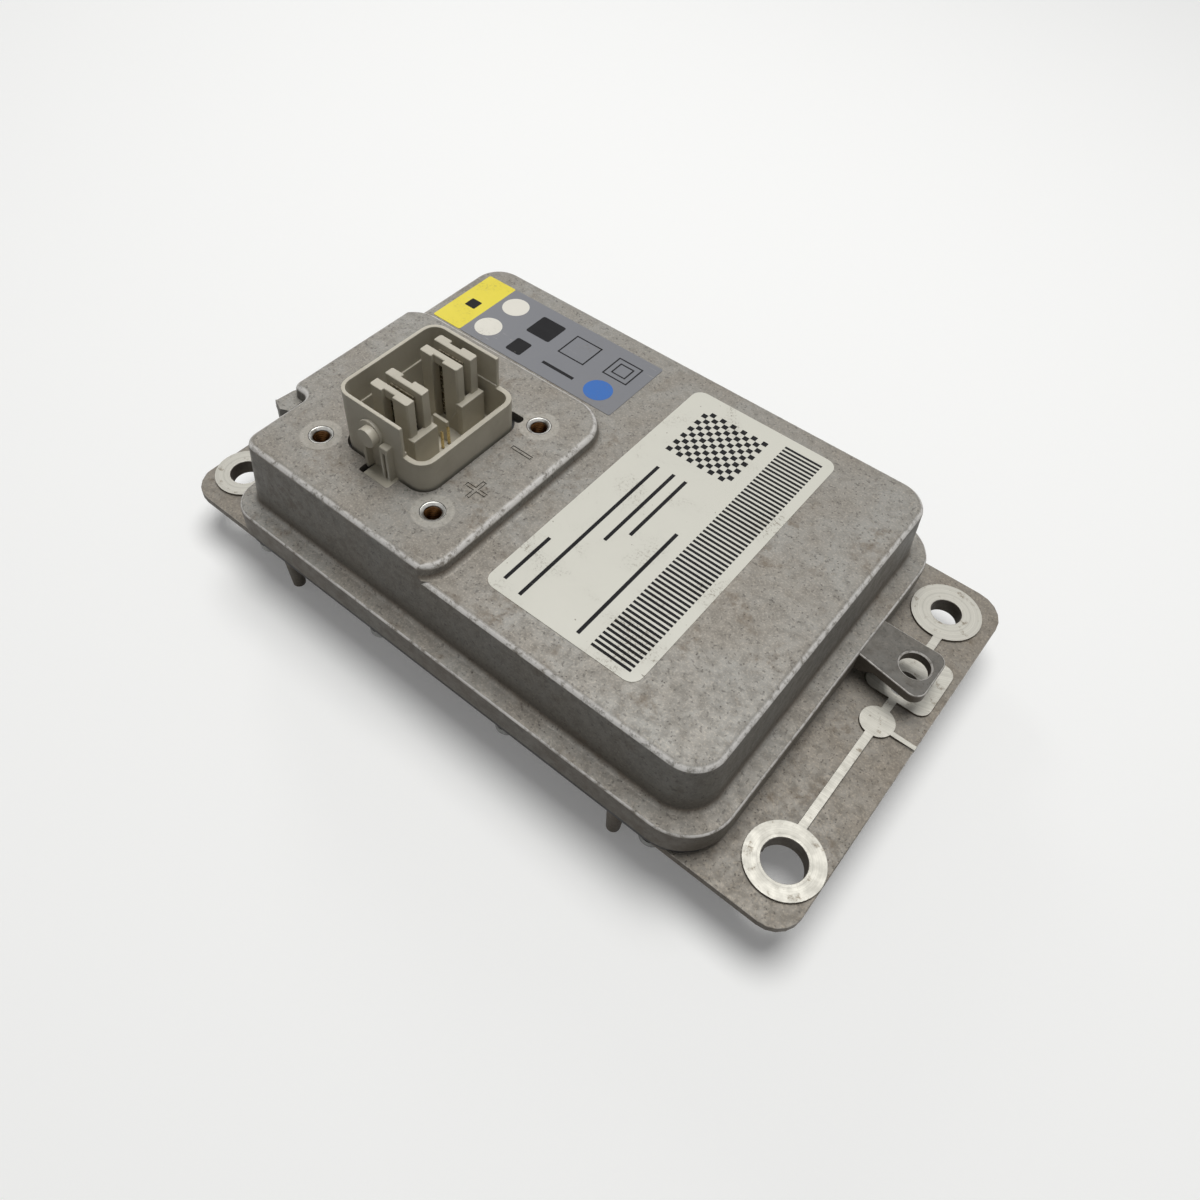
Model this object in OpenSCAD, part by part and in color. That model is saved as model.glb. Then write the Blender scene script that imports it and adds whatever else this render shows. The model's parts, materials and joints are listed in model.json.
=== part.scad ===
// Lithium car battery: a flat die-cast box with a plug header, bolt ears at its ends and four cells inside.
// The long side runs along X, the header points up, and the cover is drawn with its middle at zero.

/* [Cover] */
// Length of the cover over its walls, at the top
cover_l = 168.6; // [160:0.1:190]
// Width of the cover over its walls, at the top
cover_w = 118; // [112:0.5:130]
// Height of the cover walls above the flange
wall_h = 18.9; // [16:0.1:26]
// Draft of the cover walls, in degrees
draft = 5; // [2:0.5:7]
// Wall thickness of both castings
wall_t = 3; // [2:0.25:4]
// Corner radius of the cover at the top
corner_r = 9.5; // [6:0.5:12]
// Radius along the top edges of the cover
edge_r = 2; // [1:0.25:3]
// Length by which the front of the left end is set back
notch_l = 7.4; // [6:0.2:10]
// Width of that set-back
notch_w = 25.5; // [22:0.5:30]

/* [Flange] */
// Thickness of the cover flange
flange_t = 8.6; // [6:0.1:10]
// Width of the flange past the wall, on the front and the right
flange_wide = 5.8; // [5:0.1:8]
// Width of the flange past the wall, on the back and the left
flange_narrow = 3.7; // [3:0.1:5]
// Corner radius of the flange
flange_r = 15; // [9:0.5:18]
// Thickness of the rubber seal under the flange
seal_t = 2.7; // [1.5:0.1:4]

/* [Platform] */
// Height of the raised platform above the cover
platform_h = 4.7; // [3.5:0.1:7]
// Distance from the middle of the header to the platform's right wall
platform_past = 36.7; // [33:0.1:40]
// Distance from the middle of the header to the platform's back wall
platform_behind = 40.3; // [36:0.1:44]
// Corner radius at the back right of the platform
platform_r = 13; // [8:0.5:15]

/* [Base] */
// Depth of the tub below the base plate
tub_depth = 14.8; // [14.2:0.1:24]
// Thickness of the base plate
plate_t = 3; // [2.5:0.1:4]
// Distance from the edge of the flange to the tub wall
tub_inset = 12; // [11:0.5:14]
// Length of the base plate past the flange, on the right
ear_right = 25.7; // [24.5:0.1:30]
// Length of the base plate past the flange, on the left
ear_left = 17.4; // [17:0.1:24]
// Corner radius of the base plate
plate_r = 9; // [6:0.5:11]
// Distance of the plate's front edge behind the flange
base_setback = 1.7; // [0.5:0.1:2]
// Diameter of the locating pins at their root
pin_d = 5.2; // [4:0.1:6]
// Length of the locating pins
pin_l = 13.3; // [8:0.1:14]
// Distance from the left end of the cover to the first pin
pin_left = 23; // [20:0.1:30]
// Distance from the right end of the cover to the second pin
pin_right = 19.1; // [16:0.1:30]

/* [Bolt ears] */
// Diameter of the bolt hole in the back right ear
bolt_d = 9.1; // [8.4:0.1:10]
// Diameter of the larger hole in the front right ear
wide_bolt_d = 12.1; // [11:0.1:13]
// Diameter of the bolt holes in the left ears
left_bolt_d = 10; // [9:0.1:11]
// Diameter of the machined ring round each bolt hole
ring_d = 21; // [18:0.5:22]
// Height of the machined faces above the base plate
face_h = 0.8; // [0.4:0.1:1.5]
// Depth of the bosses under the bolt holes
boss_h = 1.3; // [0.5:0.1:3]
// Distance from the plate's right edge to the back ring
ring_back_x = 14.2; // [12:0.1:16]
// Distance from the plate's back edge to the back rings
ring_back_y = 14.1; // [12:0.1:16]
// Distance from the plate's right edge to the front ring
ring_front_x = 10.9; // [10.6:0.1:13]
// Distance from the plate's front edge to the front ring
ring_front_y = 17; // [15:0.1:18]
// Distance from the plate's left edge to the left rings
ring_left_x = 10.1; // [10:0.1:13]
// Distance from the plate's front edge to the left ring
ring_left_y = 15; // [13:0.1:17]
// Width of the machined strip that joins the rings
strip_w = 2.6; // [1.5:0.1:5]

/* [Earth tab] */
// Length of the tab past the flange
tab_l = 20; // [18:0.2:22]
// Distance of the tab's hole from the end of the tab
tab_hole_x = 6.4; // [6.2:0.1:9]
// Distance of the tab's hole from the middle of the cover
tab_y = 18.8; // [15:0.1:21]
// Width of the tab behind its hole
tab_back = 8.2; // [7:0.1:10]
// Width of the tab in front of its hole, at the flange
tab_front = 6.5; // [6.2:0.1:9]
// Width that the tab gains towards its end
tab_flare = 3.6; // [0:0.2:5]
// Thickness of the tab
tab_t = 3.2; // [2.6:0.1:4.5]
// Diameter of the hole in the tab
tab_hole_d = 8.8; // [7:0.1:9]

/* [Plug header] */
// Distance from the left end of the cover to the middle of the header
header_x = 45.9; // [45:0.1:47]
// Distance from the front of the cover to the middle of the header
header_y = 38.9; // [37:0.1:41]
// Length of the header's wall
header_l = 32.6; // [31:0.1:34]
// Width of the header's wall
header_w = 39; // [38:0.1:40]
// Height of the header above the platform
header_h = 19.7; // [17:0.1:24]
// Height of the low end of the header above the platform
header_low_h = 9.6; // [8:0.1:12]
// Length of the low end of the header
header_low_l = 7.4; // [6:0.1:8]
// Corner radius of the header
header_r = 5; // [4:0.25:6]
// Wall thickness of the header
header_wall = 1.7; // [1.2:0.1:2.2]
// Clearance round the header in the cover
header_gap = 0.8; // [0.4:0.1:1]
// Distance of the threaded inserts past the front and the back of the header
insert_out = 2.7; // [2.2:0.1:4]
// Outer diameter of the threaded inserts
insert_d = 7.4; // [7:0.1:8]
// Diameter of the thread's bore
thread_d = 5; // [4.2:0.1:5.5]
// Length of the threaded inserts
insert_l = 8.5; // [6:0.1:8.6]

/* [Contact towers] */
// Length of each tower
tower_l = 14.1; // [13:0.1:15]
// Width of each tower
tower_w = 8.8; // [8.4:0.1:9.4]
// Height of the towers above the platform
tower_h = 20.3; // [17:0.1:24]
// Width of the slot in each tower
slot_w = 2.7; // [2.2:0.1:3]
// Gap between the front tower and the wall of the header
tower_front = 5.5; // [4:0.1:6]
// Gap between the back tower and the wall of the header
tower_behind = 2.2; // [1.5:0.1:3]
// Length of the windows in the towers
window_l = 4.1; // [3:0.1:5]
// Length of the contact springs
spring_l = 9; // [6:0.1:9.5]
// Thickness of the contact springs
spring_t = 0.5; // [0.4:0.05:0.6]

/* [Cells] */
// Clearance between the cells and the long walls of the tub
cell_gap = 1.5; // [0.5:0.1:5]
// Clearance between the bars on the cells and the bosses under the platform
bar_gap = 1; // [0.5:0.1:4]
// Distance from the middle of the header to the right edge of the board
board_past = 5.4; // [4:0.1:8]
// Clearance between the board and the long walls of the tub
board_side = 4; // [2:0.1:8]
// Height of the board above the floor of the tub
board_h = 23.5; // [20:0.1:26]
// Thickness of the spacers between the cells
spacer_t = 1; // [0.5:0.1:1.2]
// Thickness of the thermal pad under the cells
pad_t = 1; // [0.5:0.1:1.4]
// Distance from the end of a cell to the middle of its terminal
terminal_in = 15.5; // [12:0.1:18]
// Thickness of the links and bars
bar_t = 1.2; // [0.8:0.1:1.5]
// Width of the links and bars
bar_w = 11; // [8:0.5:11]

/* [Labels] */
// Length of the white label
label_l = 49.8; // [46:0.2:52]
// Distance from the front edge of the cover to the white label
label_front = 10.6; // [6:0.1:16]
// Distance from the right end of the cover to the white label
label_x = 27.7; // [24:0.1:29]
// Distance from the left end of the cover to the yellow field
notice_x = 3.7; // [3:0.1:5]
// Length of the yellow field
yellow_l = 11.8; // [9:0.1:14]
// Length of the grey label
grey_l = 62; // [58:0.2:64]
// Distance of the yellow field and the grey label behind the platform
notice_gap = 3.2; // [2:0.1:6]
// Distance from the back edge of the cover to the labels
label_y = 7.4; // [6:0.1:8]
// Thickness of the labels
label_t = 0.15; // [0.1:0.05:0.3]

/* [Hidden] */
$fn = 48;
eps = 0.02;

// Heights, from the bottom of the tub upwards
z_plate = tub_depth;
z_plate_top = z_plate + plate_t;
z_seal = z_plate_top + seal_t;
z_flange = z_seal + flange_t;
z_top = z_flange + wall_h;
z_platform = z_top + platform_h;
z_ceiling = z_platform - wall_t;

// Edges of the cover, the flange and the base plate, with the middle of the cover as zero
foot = wall_h * tan(draft);
x0 = -cover_l / 2;
x1 = cover_l / 2;
y0 = -cover_w / 2;
y1 = cover_w / 2;
step_y = y0 + notch_w;
front_x0 = x0 + notch_l;
header = [x0 + header_x, y0 + header_y];
platform_x1 = header.x + platform_past;
platform_y1 = header.y + platform_behind;
flange_x0 = x0 - foot - flange_narrow;
flange_x1 = x1 + foot + flange_wide;
flange_y0 = y0 - foot - flange_wide;
flange_y1 = y1 + foot + flange_narrow;
base_x0 = flange_x0 - ear_left;
base_x1 = flange_x1 + ear_right;
base_y0 = flange_y0 + base_setback;
base_y1 = flange_y1;
mid_x = (base_x0 + base_x1) / 2;
mid_y = (flange_y0 + flange_y1) / 2;

// Radii at the set-back and along the castings
notch_r = 5;
step_r = 2.5;
root_r = 1.5;
flange_edge_r = 1;
slope = 10;
out = 1;

// Bolt holes, the tab and the strip that is machined with them
ring_back = [base_x1 - ring_back_x, base_y1 - ring_back_y];
ring_front = [base_x1 - ring_front_x, base_y0 + ring_front_y];
ring_left = [base_x0 + ring_left_x, base_y0 + ring_left_y];
ring_left_back = [base_x0 + ring_left_x, base_y1 - ring_back_y];
tab_hole = [flange_x1 + tab_l - tab_hole_x, tab_y];
tab_z = z_flange - 0.8;
tab_r = 3.5;
gusset_t = 2.4;
gate_h = 7;
round_pad = [tab_hole.x, tab_y - 15.8];
round_pad_r = 5;
stem_w = 1.6;
pad_l = 20;
pad_front = 6.9;
pad_back = 13.6;

// Locating pins and the screws that close the housing
pin_tip_d = pin_d - 1.2;
pin_edge = 0.2;
screw_in = 3.4;
screw_hole_d = 4.3;
screw_core_d = 3.3;
screw_depth = 6;
screw_head_d = 7;
screw_head_h = 2.4;
screw_key = 4;
rib_t = 2.5;
rib_h = 6.5;
rib_past = 6;

// The tub below the plate and the room inside it
tub_r = 9;
tub_bottom_r = 2.5;
tub_draft = 2;
tub_g = tub_depth * tan(tub_draft);
tub_x0 = flange_x0 + tub_inset - flange_narrow;
tub_x1 = flange_x1 - tub_inset;
tub_y0 = base_y0 + tub_inset;
tub_y1 = base_y1 - tub_inset;
tub_y = (tub_y0 + tub_y1) / 2;
room_x0 = tub_x0 + wall_t + tub_g;
room_x1 = tub_x1 - wall_t - tub_g;

// The stack of cells, which starts at the right end of the tub
end_t = 1.5;
end_gap = 0.2;
end_in = 5;
board_gap = 1;
bay_x0 = max(room_x0, front_x0 - foot + wall_t) + board_gap;
bay_x1 = header.x + board_past;
stack_x0 = bay_x1 + board_gap + end_t;
stack_x1 = room_x1 - end_gap - end_t;
cell_t = (stack_x1 - stack_x0 - 3 * spacer_t) / 4;
cell_step = cell_t + spacer_t;
cell_w = tub_y1 - tub_y0 - 2 * (wall_t + tub_g + cell_gap);
frame_t = 1.5;
terminal_h = 2.5;
terminal_l = 12;
insert_boss_h = 1.2;
z_cell = wall_t + pad_t;
z_bar_top = z_platform - insert_l - insert_boss_h - bar_gap;
z_bar = z_bar_top - bar_t;
z_cell_top = z_bar - terminal_h;
cell_h = z_cell_top - z_cell;
front_row_y = tub_y - cell_w / 2 + terminal_in;
back_row_y = tub_y + cell_w / 2 - terminal_in;
return_y = tub_y - 8;
vent_y = tub_y + 6;
vent_d = 9;
plug_y = (vent_y + back_row_y) / 2;
plug_d = 4;

label_r = 3.5;

// The board in the bay beside the cells, and what stands on it
board_t = 1.6;
board_w = tub_y1 - tub_y0 - 2 * (wall_t + tub_g + board_side);
bay_l = bay_x1 - bay_x0;
z_board = wall_t + board_h;
z_board_top = z_board + board_t;
leg_d = 6.5;
leg_in = 4.5;
board_screw_d = 3;
board_screw_l = 7;
bar_leg_x = bay_x1 - 1.5;
bar_leg_w = bar_w - 2;
switch_l = 6;
switch_t = 1.6;
switch_step = [11, 9];
switch_in = [9, 11, 0];
shunt_in = [24, 4];
shunt_w = 7;
capacitor_d = 7;
capacitor_h = 9;
capacitor_step = 8.6;
capacitor_in = [12, 8];

// The header in the platform, its foot and its fixings
header_seal_t = 1.2;
foot_t = 2.5;
foot_edge = 2.3;
z_foot_top = z_ceiling - header_seal_t;
z_foot = z_foot_top - foot_t;
opening_l = header_l + 2 * header_gap;
opening_w = header_w + 2 * header_gap;
foot_l = opening_l + 2 * foot_edge;
foot_w = opening_w + 2 * foot_edge;
insert_pitch = header_w + 2 * insert_out;
insert_shift = -0.5;
insert_boss_d = insert_d + 3.6;
insert_floor = 1;
corner_signs = [[-1, -1], [1, -1], [-1, 1], [1, 1]];
ear_l = 8.4;
ear_w = 8;
ear_x = foot_l / 2 + 4.2;
ear_y = 9;
header_screw_d = 3;
header_screw_l = 2.9;
header_screw_head = [5.6, 1.8];
ledge_h = 9.1;
ledge_t = 0.5;

// The key in front of the header: a notch in the platform with the header's pad in it
key_x0 = -4.8;
key_x1 = 6.6;
key_y = 4.3;
key_gap = 0.4;
key_pad_x0 = -3.4;
key_pad_h = 0.6;

// The latch on the header's front wall: a disc, a pin and a lug over ribs
latch_x = -2.3;
latch_z = 12.1;
latch_d = 8.4;
latch_pin_x = -1.5;
latch_pin_d = 6;
latch_pin_l = 3.5;
lug = [3.1, 2.1, 2.3];
lug_x = 2;
lug_z = 11.1;
latch_rib = [2.2, 1.1];
latch_rib_xs = [-4.7, 2, 4];

// The marks of the two poles, engraved beside the towers
mark_x = 25.2;
mark_ys = [-8.7, 10.5];
mark_l = 6;
mark_w = 2.2;
mark_line = 0.5;
mark_depth = 0.4;

// The towers and contacts, from the middle of the header
tower_x = -2.65;
tower_in = header_w / 2 - header_wall - tower_w / 2;
tower_ys = [tower_front - tower_in, tower_in - tower_behind];
tower_foot_l = 1.7;
tower_foot_h = 8.3;
tower_foot_w = tower_w + 0.6;
slot_in = 2;
window_x = tower_x - 0.5;
window_d = 1.1;
lintel_h = 3;
spring_x = tower_x - 0.1;
spring_gap = 0.1;
spring_bow = 0.4;
spring_top = 2;
contact_w = 3.6;
contact_t = 0.8;
contact_foot_l = 5;
z_yoke = z_foot - 1.4;
mid_ledge_x = 1.35;
mid_ledge = [5.5, 5];
mid_ledge_h = 4.3;
signal_x = 4.9;
signal_y = 1.7;
signal_w = 0.64;
signal_step = 2.54;

// Rounded outlines
function unit(v) = v / norm(v);
function turn(a) = a > 180 ? a - 360 : (a < -180 ? a + 360 : a);
function corner_arc(before, corner, after, r, steps) =
    let (u = unit(before - corner), v = unit(after - corner), half = acos(u * v) / 2)
    let (centre = corner + unit(u + v) * r / sin(half))
    let (start = corner + u * r / tan(half) - centre, end = corner + v * r / tan(half) - centre)
    let (a = atan2(start.y, start.x), sweep = turn(atan2(end.y, end.x) - a))
    [for (i = [0:steps]) centre + r * [cos(a + sweep * i / steps), sin(a + sweep * i / steps)]];
function rounded(corners, steps = 5) =
    let (n = len(corners), p = [for (c = corners) [c[0], c[1]]])
    [for (i = [0:n - 1]) each corner_arc(p[(i + n - 1) % n], p[i], p[(i + 1) % n], corners[i][2], steps)];
function box_outline(xa, xb, ya, yb, r, steps = 5) =
    rounded([[xa, ya, r], [xb, ya, r], [xb, yb, r], [xa, yb, r]], steps);
function grown(r, g) = max(r + g, 0.6);
// Radius in the inner corner of the set-back, limited so that it fits beside the outer corner there
function inside_r(r, beside) = max(min(r, notch_l - beside - 0.4), 0.4);

// Outline of the cover walls, grown by g
function cover_ring(g) = rounded([
    [front_x0 - g, y0 - g, grown(notch_r, g)],
    [x1 + g, y0 - g, grown(corner_r, g)],
    [x1 + g, y1 + g, grown(corner_r, g)],
    [x0 - g, y1 + g, grown(corner_r, g)],
    [x0 - g, step_y - g, grown(step_r, g)],
    [front_x0 - g, step_y - g, inside_r(step_r - g, grown(step_r, g))]]);

// Outline of the platform: g grows its outer walls, s grows the two walls that stand on the cover
function platform_ring(g, s) = rounded([
    [front_x0 - g, y0 - g, grown(notch_r, g)],
    [platform_x1 + s, y0 - g, grown(platform_r - 5, g)],
    [platform_x1 + s, platform_y1 + s, grown(platform_r, s)],
    [x0 - g, platform_y1 + s, grown(corner_r, g)],
    [x0 - g, step_y - g, grown(step_r, g)],
    [front_x0 - g, step_y - g, inside_r(step_r - g, grown(step_r, g))]]);

// Outline of the flange, grown by g
function flange_ring(g) = rounded([
    [front_x0 - foot - flange_narrow - g, flange_y0 - g, grown(flange_r - 5, g)],
    [flange_x1 + g, flange_y0 - g, grown(flange_r, g)],
    [flange_x1 + g, flange_y1 + g, grown(flange_r, g)],
    [flange_x0 - g, flange_y1 + g, grown(flange_r, g)],
    [flange_x0 - g, step_y - foot - flange_narrow - g, grown(step_r + foot, g)],
    [front_x0 - foot - flange_narrow - g, step_y - foot - flange_narrow - g,
        inside_r(step_r - g, grown(step_r + foot, g))]]);

function tub_ring(g) = box_outline(tub_x0 - g, tub_x1 + g, tub_y0 - g, tub_y1 + g, grown(tub_r, g));

// Growth of the drafted cover wall at height z
function wall_g(z) = (z_top - z) * tan(draft);
// Points of a convex edge of radius r that ends at height z, as [growth, height]
function edge_curve(r, z, steps = 4) =
    [for (i = [0:steps]) let (a = 90 * i / steps) [-r * (1 - cos(a)), z - r + r * sin(a)]];
// Points of a concave root of radius r that starts at height z
function root_curve(r, z, steps = 3) =
    [for (i = [0:steps]) let (a = 90 * i / steps) [r * (1 - sin(a)), z + r * (1 - cos(a))]];

// Solid through a stack of outlines with as many points each
module loft(rings, heights) {
    n = len(rings[0]);
    last = len(rings) - 1;
    points = [for (k = [0:last]) for (p = rings[k]) [p.x, p.y, heights[k]]];
    sides = [for (k = [0:last - 1]) for (i = [0:n - 1]) let (j = (i + 1) % n, b = k * n, t = (k + 1) * n)
        each [[b + i, t + i, t + j], [b + i, t + j, b + j]]];
    bottom = [for (i = [0:n - 1]) i];
    lid = [for (i = [n - 1:-1:0]) last * n + i];
    polyhedron(points = points, faces = concat([bottom, lid], sides));
}

module slab(outline, z, h) {
    translate([0, 0, z]) linear_extrude(h) polygon(outline);
}

module block(x, y, z, size) {
    translate([x - size.x / 2, y - size.y / 2, z]) cube(size);
}

module rod(p, z, h, d) {
    translate([p.x, p.y, z]) cylinder(h = h, d = d);
}

module centred() {
    translate([-mid_x, -mid_y, 0]) children();
}

// Places of the screws that close the housing, along the long sides and at both ends
screw_xs = [for (i = [0:3]) x0 + 12 + i * (cover_l - 20) / 3];
screw_places = concat(
    [for (x = screw_xs) [x, base_y0 + screw_in]],
    [for (x = screw_xs) [x, base_y1 - screw_in]],
    [[flange_x0 + screw_in, tub_y], [flange_x1 - screw_in - base_setback, tub_y - 12]]);
pin_places = [for (x = [x0 + pin_left, x1 - pin_right])
    for (y = [base_y0 + pin_d / 2 + pin_edge, base_y1 - pin_d / 2 - pin_edge]) [x, y]];
insert_places = [for (s = corner_signs) [header.x + insert_shift, header.y] + s * insert_pitch / 2];
header_screw_places = [for (s = corner_signs) [header.x + s.x * ear_x, header.y + s.y * ear_y]];
bolt_rings = [[ring_back, bolt_d, ring_d], [ring_front, wide_bolt_d, ring_d + 0.5],
    [ring_left, left_bolt_d, ring_d - 1.2], [ring_left_back, left_bolt_d, ring_d - 1.2]];

// Base casting: plate with bolt ears, machined faces, locating pins and the tub for the cells
module machined_faces() {
    z = z_plate_top - 1;
    h = face_h + 1;
    for (r = bolt_rings) rod(r[0], z, h, r[2]);
    slab(box_outline(tab_hole.x - pad_l / 2, tab_hole.x + pad_l / 2, tab_y - pad_front, tab_y + pad_back,
        tab_r), z, h);
    translate([0, 0, z]) linear_extrude(h) {
        translate([tab_hole.x - strip_w / 2, ring_front.y]) square([strip_w, ring_back.y - ring_front.y]);
        translate([tab_hole.x, round_pad.y - stem_w]) square([base_x1 - tab_hole.x, stem_w]);
        translate(round_pad) circle(r = round_pad_r);
    }
}

// The level that the flange and its seal stand on stays free of machined faces
module seal_land() {
    slab(flange_ring(0.2), z_plate_top, face_h + 1);
}

module locating_pin() {
    rotate_extrude() polygon([[0, -pin_l], [pin_tip_d / 2 - 1, -pin_l], [pin_tip_d / 2, -pin_l + 1],
        [pin_d / 2, -1], [pin_d / 2, 1], [0, 1]]);
}

module tub_outside() {
    curve = edge_curve(tub_bottom_r, tub_bottom_r);
    steps = [for (i = [4:-1:0]) [curve[i][0] - tub_g, tub_bottom_r - curve[i][1]]];
    list = concat(steps, [[0, z_plate + 1]]);
    loft([for (s = list) tub_ring(s[0])], [for (s = list) s[1]]);
}

module tub_room() {
    loft([tub_ring(-wall_t - tub_g), tub_ring(-wall_t), tub_ring(-wall_t)],
        [wall_t, z_plate, z_plate_top + 1]);
}

module ear_ribs() {
    for (r = bolt_rings) {
        side = r[0].x < 0 ? -1 : 1;
        wall_x = side < 0 ? tub_x0 + 1 : tub_x1 - 1;
        end_x = r[0].x - side * rib_past;
        y = min(max(r[0].y, tub_y0 + tub_r), tub_y1 - tub_r);
        translate([min(wall_x, end_x), y - rib_t / 2, z_plate - rib_h + 0.5])
            cube([abs(end_x - wall_x), rib_t, rib_h]);
    }
}

module base_casting() {
    color("#8e8981") centred() difference() {
        union() {
            slab(rounded([[base_x0, base_y0, plate_r], [base_x1, base_y0, plate_r - 1],
                [base_x1, base_y1, plate_r + 0.5], [base_x0, base_y1, plate_r]]), z_plate, plate_t);
            machined_faces();
            for (r = bolt_rings) rod(r[0], z_plate - boss_h, boss_h + 1, r[2] - 2);
            for (p = pin_places) translate([p.x, p.y, z_plate]) locating_pin();
            tub_outside();
            ear_ribs();
        }
        tub_room();
        seal_land();
        for (r = bolt_rings) rod(r[0], z_plate - boss_h - 1, plate_t + boss_h + face_h + 2, r[1]);
        rod(tab_hole, z_plate - 1, plate_t + face_h + 2, tab_hole_d);
        for (p = screw_places) rod(p, z_plate - 1, plate_t + 2, screw_hole_d);
    }
}

// Cover casting: flange, drafted walls, raised platform and earth tab
module cover_block() {
    list = concat([[foot + root_r, z_flange - 2]],
        [for (c = concat(root_curve(root_r, z_flange), edge_curve(edge_r, z_platform)))
            [c[0] + wall_g(c[1]), c[1]]]);
    loft([for (s = list) cover_ring(s[0])], [for (s = list) s[1]]);
}

// What stays of the block at the level of the cover's top, with the rounded edge there
module low_top() {
    high = edge_curve(edge_r, z_top);
    list = concat([[3 * eps + wall_g(z_top - edge_r - 2), z_top - edge_r - 2]],
        [for (c = high) [c[0] + wall_g(c[1]) + 3 * eps, c[1]]]);
    loft([for (s = list) cover_ring(s[0])], [for (s = list) s[1]]);
}

// What stays of the block as the platform, with the slope and the rounded edge of its two inner walls
module high_top() {
    mid = root_curve(root_r, z_top - eps);
    high = edge_curve(edge_r, z_platform + eps);
    list = concat([[out, root_r, z_top - edge_r - 2]],
        [for (c = concat(mid, high)) [out, c[0] - (c[1] - z_top) * tan(slope), c[1]]],
        [[out, high[4][0] - platform_h * tan(slope), z_platform + 2]]);
    loft([for (s = list) platform_ring(s[0], s[1])], [for (s = list) s[2]]);
}

module cover_body() {
    difference() {
        cover_block();
        difference() {
            translate([x0 - 10, y0 - 10, z_top - edge_r - 0.3])
                cube([cover_l + 20, cover_w + 20, platform_h + edge_r + 1]);
            low_top();
            high_top();
        }
    }
}

module cover_flange() {
    list = concat([[0, z_seal]], edge_curve(flange_edge_r, z_flange));
    loft([for (s = list) flange_ring(s[0])], [for (s = list) s[1]]);
}

module earth_tab() {
    tip_x = flange_x1 + tab_l;
    slab(rounded([[flange_x1 - 2, tab_y - tab_front, 0.5], [tip_x, tab_y - tab_front - tab_flare, tab_r],
        [tip_x, tab_y + tab_back, tab_r], [flange_x1 - 2, tab_y + tab_back, 0.5]]), tab_z - tab_t, tab_t);
    for (y = [tab_y - tab_front, tab_y + tab_back - gusset_t])
        translate([0, y + gusset_t, 0]) rotate([90, 0, 0]) linear_extrude(gusset_t)
            polygon([[flange_x1 - 1, z_seal + 1], [flange_x1 - 1, tab_z - 1], [tab_hole.x - 5, tab_z - 1],
                [tab_hole.x - 5, tab_z - tab_t], [flange_x1 + 2, z_seal + 1]]);
}

module cover_room() {
    high = edge_curve(edge_r, z_top - wall_t);
    list = concat([[foot - wall_t, z_seal - 1], [foot - wall_t, z_flange]],
        [for (c = high) [c[0] + wall_g(c[1]) - wall_t, c[1]]]);
    loft([for (s = list) cover_ring(s[0])], [for (s = list) s[1]]);
}

// Hollow under the platform, straight-walled, above the hollow of the cover
module platform_room() {
    in = wall_t + 1.5;
    low = z_top - wall_t - 3;
    slab(box_outline(front_x0 + in, platform_x1 - in, y0 + in, platform_y1 - in, corner_r), low,
        z_ceiling - low);
}

module header_opening() {
    slab(box_outline(header.x - opening_l / 2, header.x + opening_l / 2, header.y - opening_w / 2,
        header.y + opening_w / 2, header_r + header_gap), z_ceiling - 1, wall_t + 2);
    translate([header.x + key_x0, header.y - opening_w / 2 - key_y, z_ceiling - 1])
        cube([key_x1 - key_x0, key_y + 2, wall_t + 2]);
    block(header.x + opening_l / 2 - 3, header.y + opening_w / 2, z_ceiling - 1, [5.4, 3, wall_t + 2]);
}

// Outlines of a plus and a minus sign, engraved in the platform
module cross(arms, l, w) {
    for (a = arms) rotate(a) square([l, w], center = true);
}

module pole_mark(arms) {
    linear_extrude(mark_depth + 1) difference() {
        cross(arms, mark_l, mark_w);
        cross(arms, mark_l - 2 * mark_line, mark_w - 2 * mark_line);
    }
}

module pole_marks() {
    for (i = [0, 1]) translate([header.x + mark_x, header.y + mark_ys[i], z_platform - mark_depth])
        pole_mark([[0, 90], [0]][i]);
}

module gate_stub() {
    translate([x0 - 2.6, step_y - 6.8, z_top - gate_h]) linear_extrude(gate_h)
        polygon([[0, 1.5], [3.6, 0], [6.4, 0.8], [6.4, 8.5], [0.6, 8.5]]);
}

module cover_casting() {
    color("#928d85") centred() difference() {
        union() {
            difference() {
                union() {
                    cover_flange();
                    cover_body();
                    earth_tab();
                    gate_stub();
                }
                cover_room();
                platform_room();
            }
            for (p = insert_places)
                rod(p, z_platform - insert_l - insert_boss_h, insert_l - wall_t + 2, insert_boss_d);
            for (p = header_screw_places) rod(p, z_foot_top, header_seal_t + 1, header_screw_d + 4);
        }
        header_opening();
        pole_marks();
        for (p = insert_places) rod(p, z_platform - insert_l, insert_l + 1, insert_d);
        for (p = header_screw_places) rod(p, z_foot_top - 1, header_screw_l + 1.2, header_screw_d);
        rod(tab_hole, z_seal - 1, flange_t + 2, tab_hole_d);
        for (p = screw_places) rod(p, z_seal - 1, screw_depth + 1.5, screw_core_d);
    }
}

// Rubber seal between the castings
module housing_seal() {
    color("#1c1b1a") centred() difference() {
        slab(flange_ring(-0.6), z_plate_top, seal_t);
        slab(cover_ring(foot - wall_t), z_plate_top - 1, seal_t + 2);
        for (p = screw_places) rod(p, z_plate_top - 1, seal_t + 2, screw_hole_d);
    }
}

module thermal_pad() {
    color("#b9c4cc") centred() slab(stack_outline(5), wall_t, pad_t);
}

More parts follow.
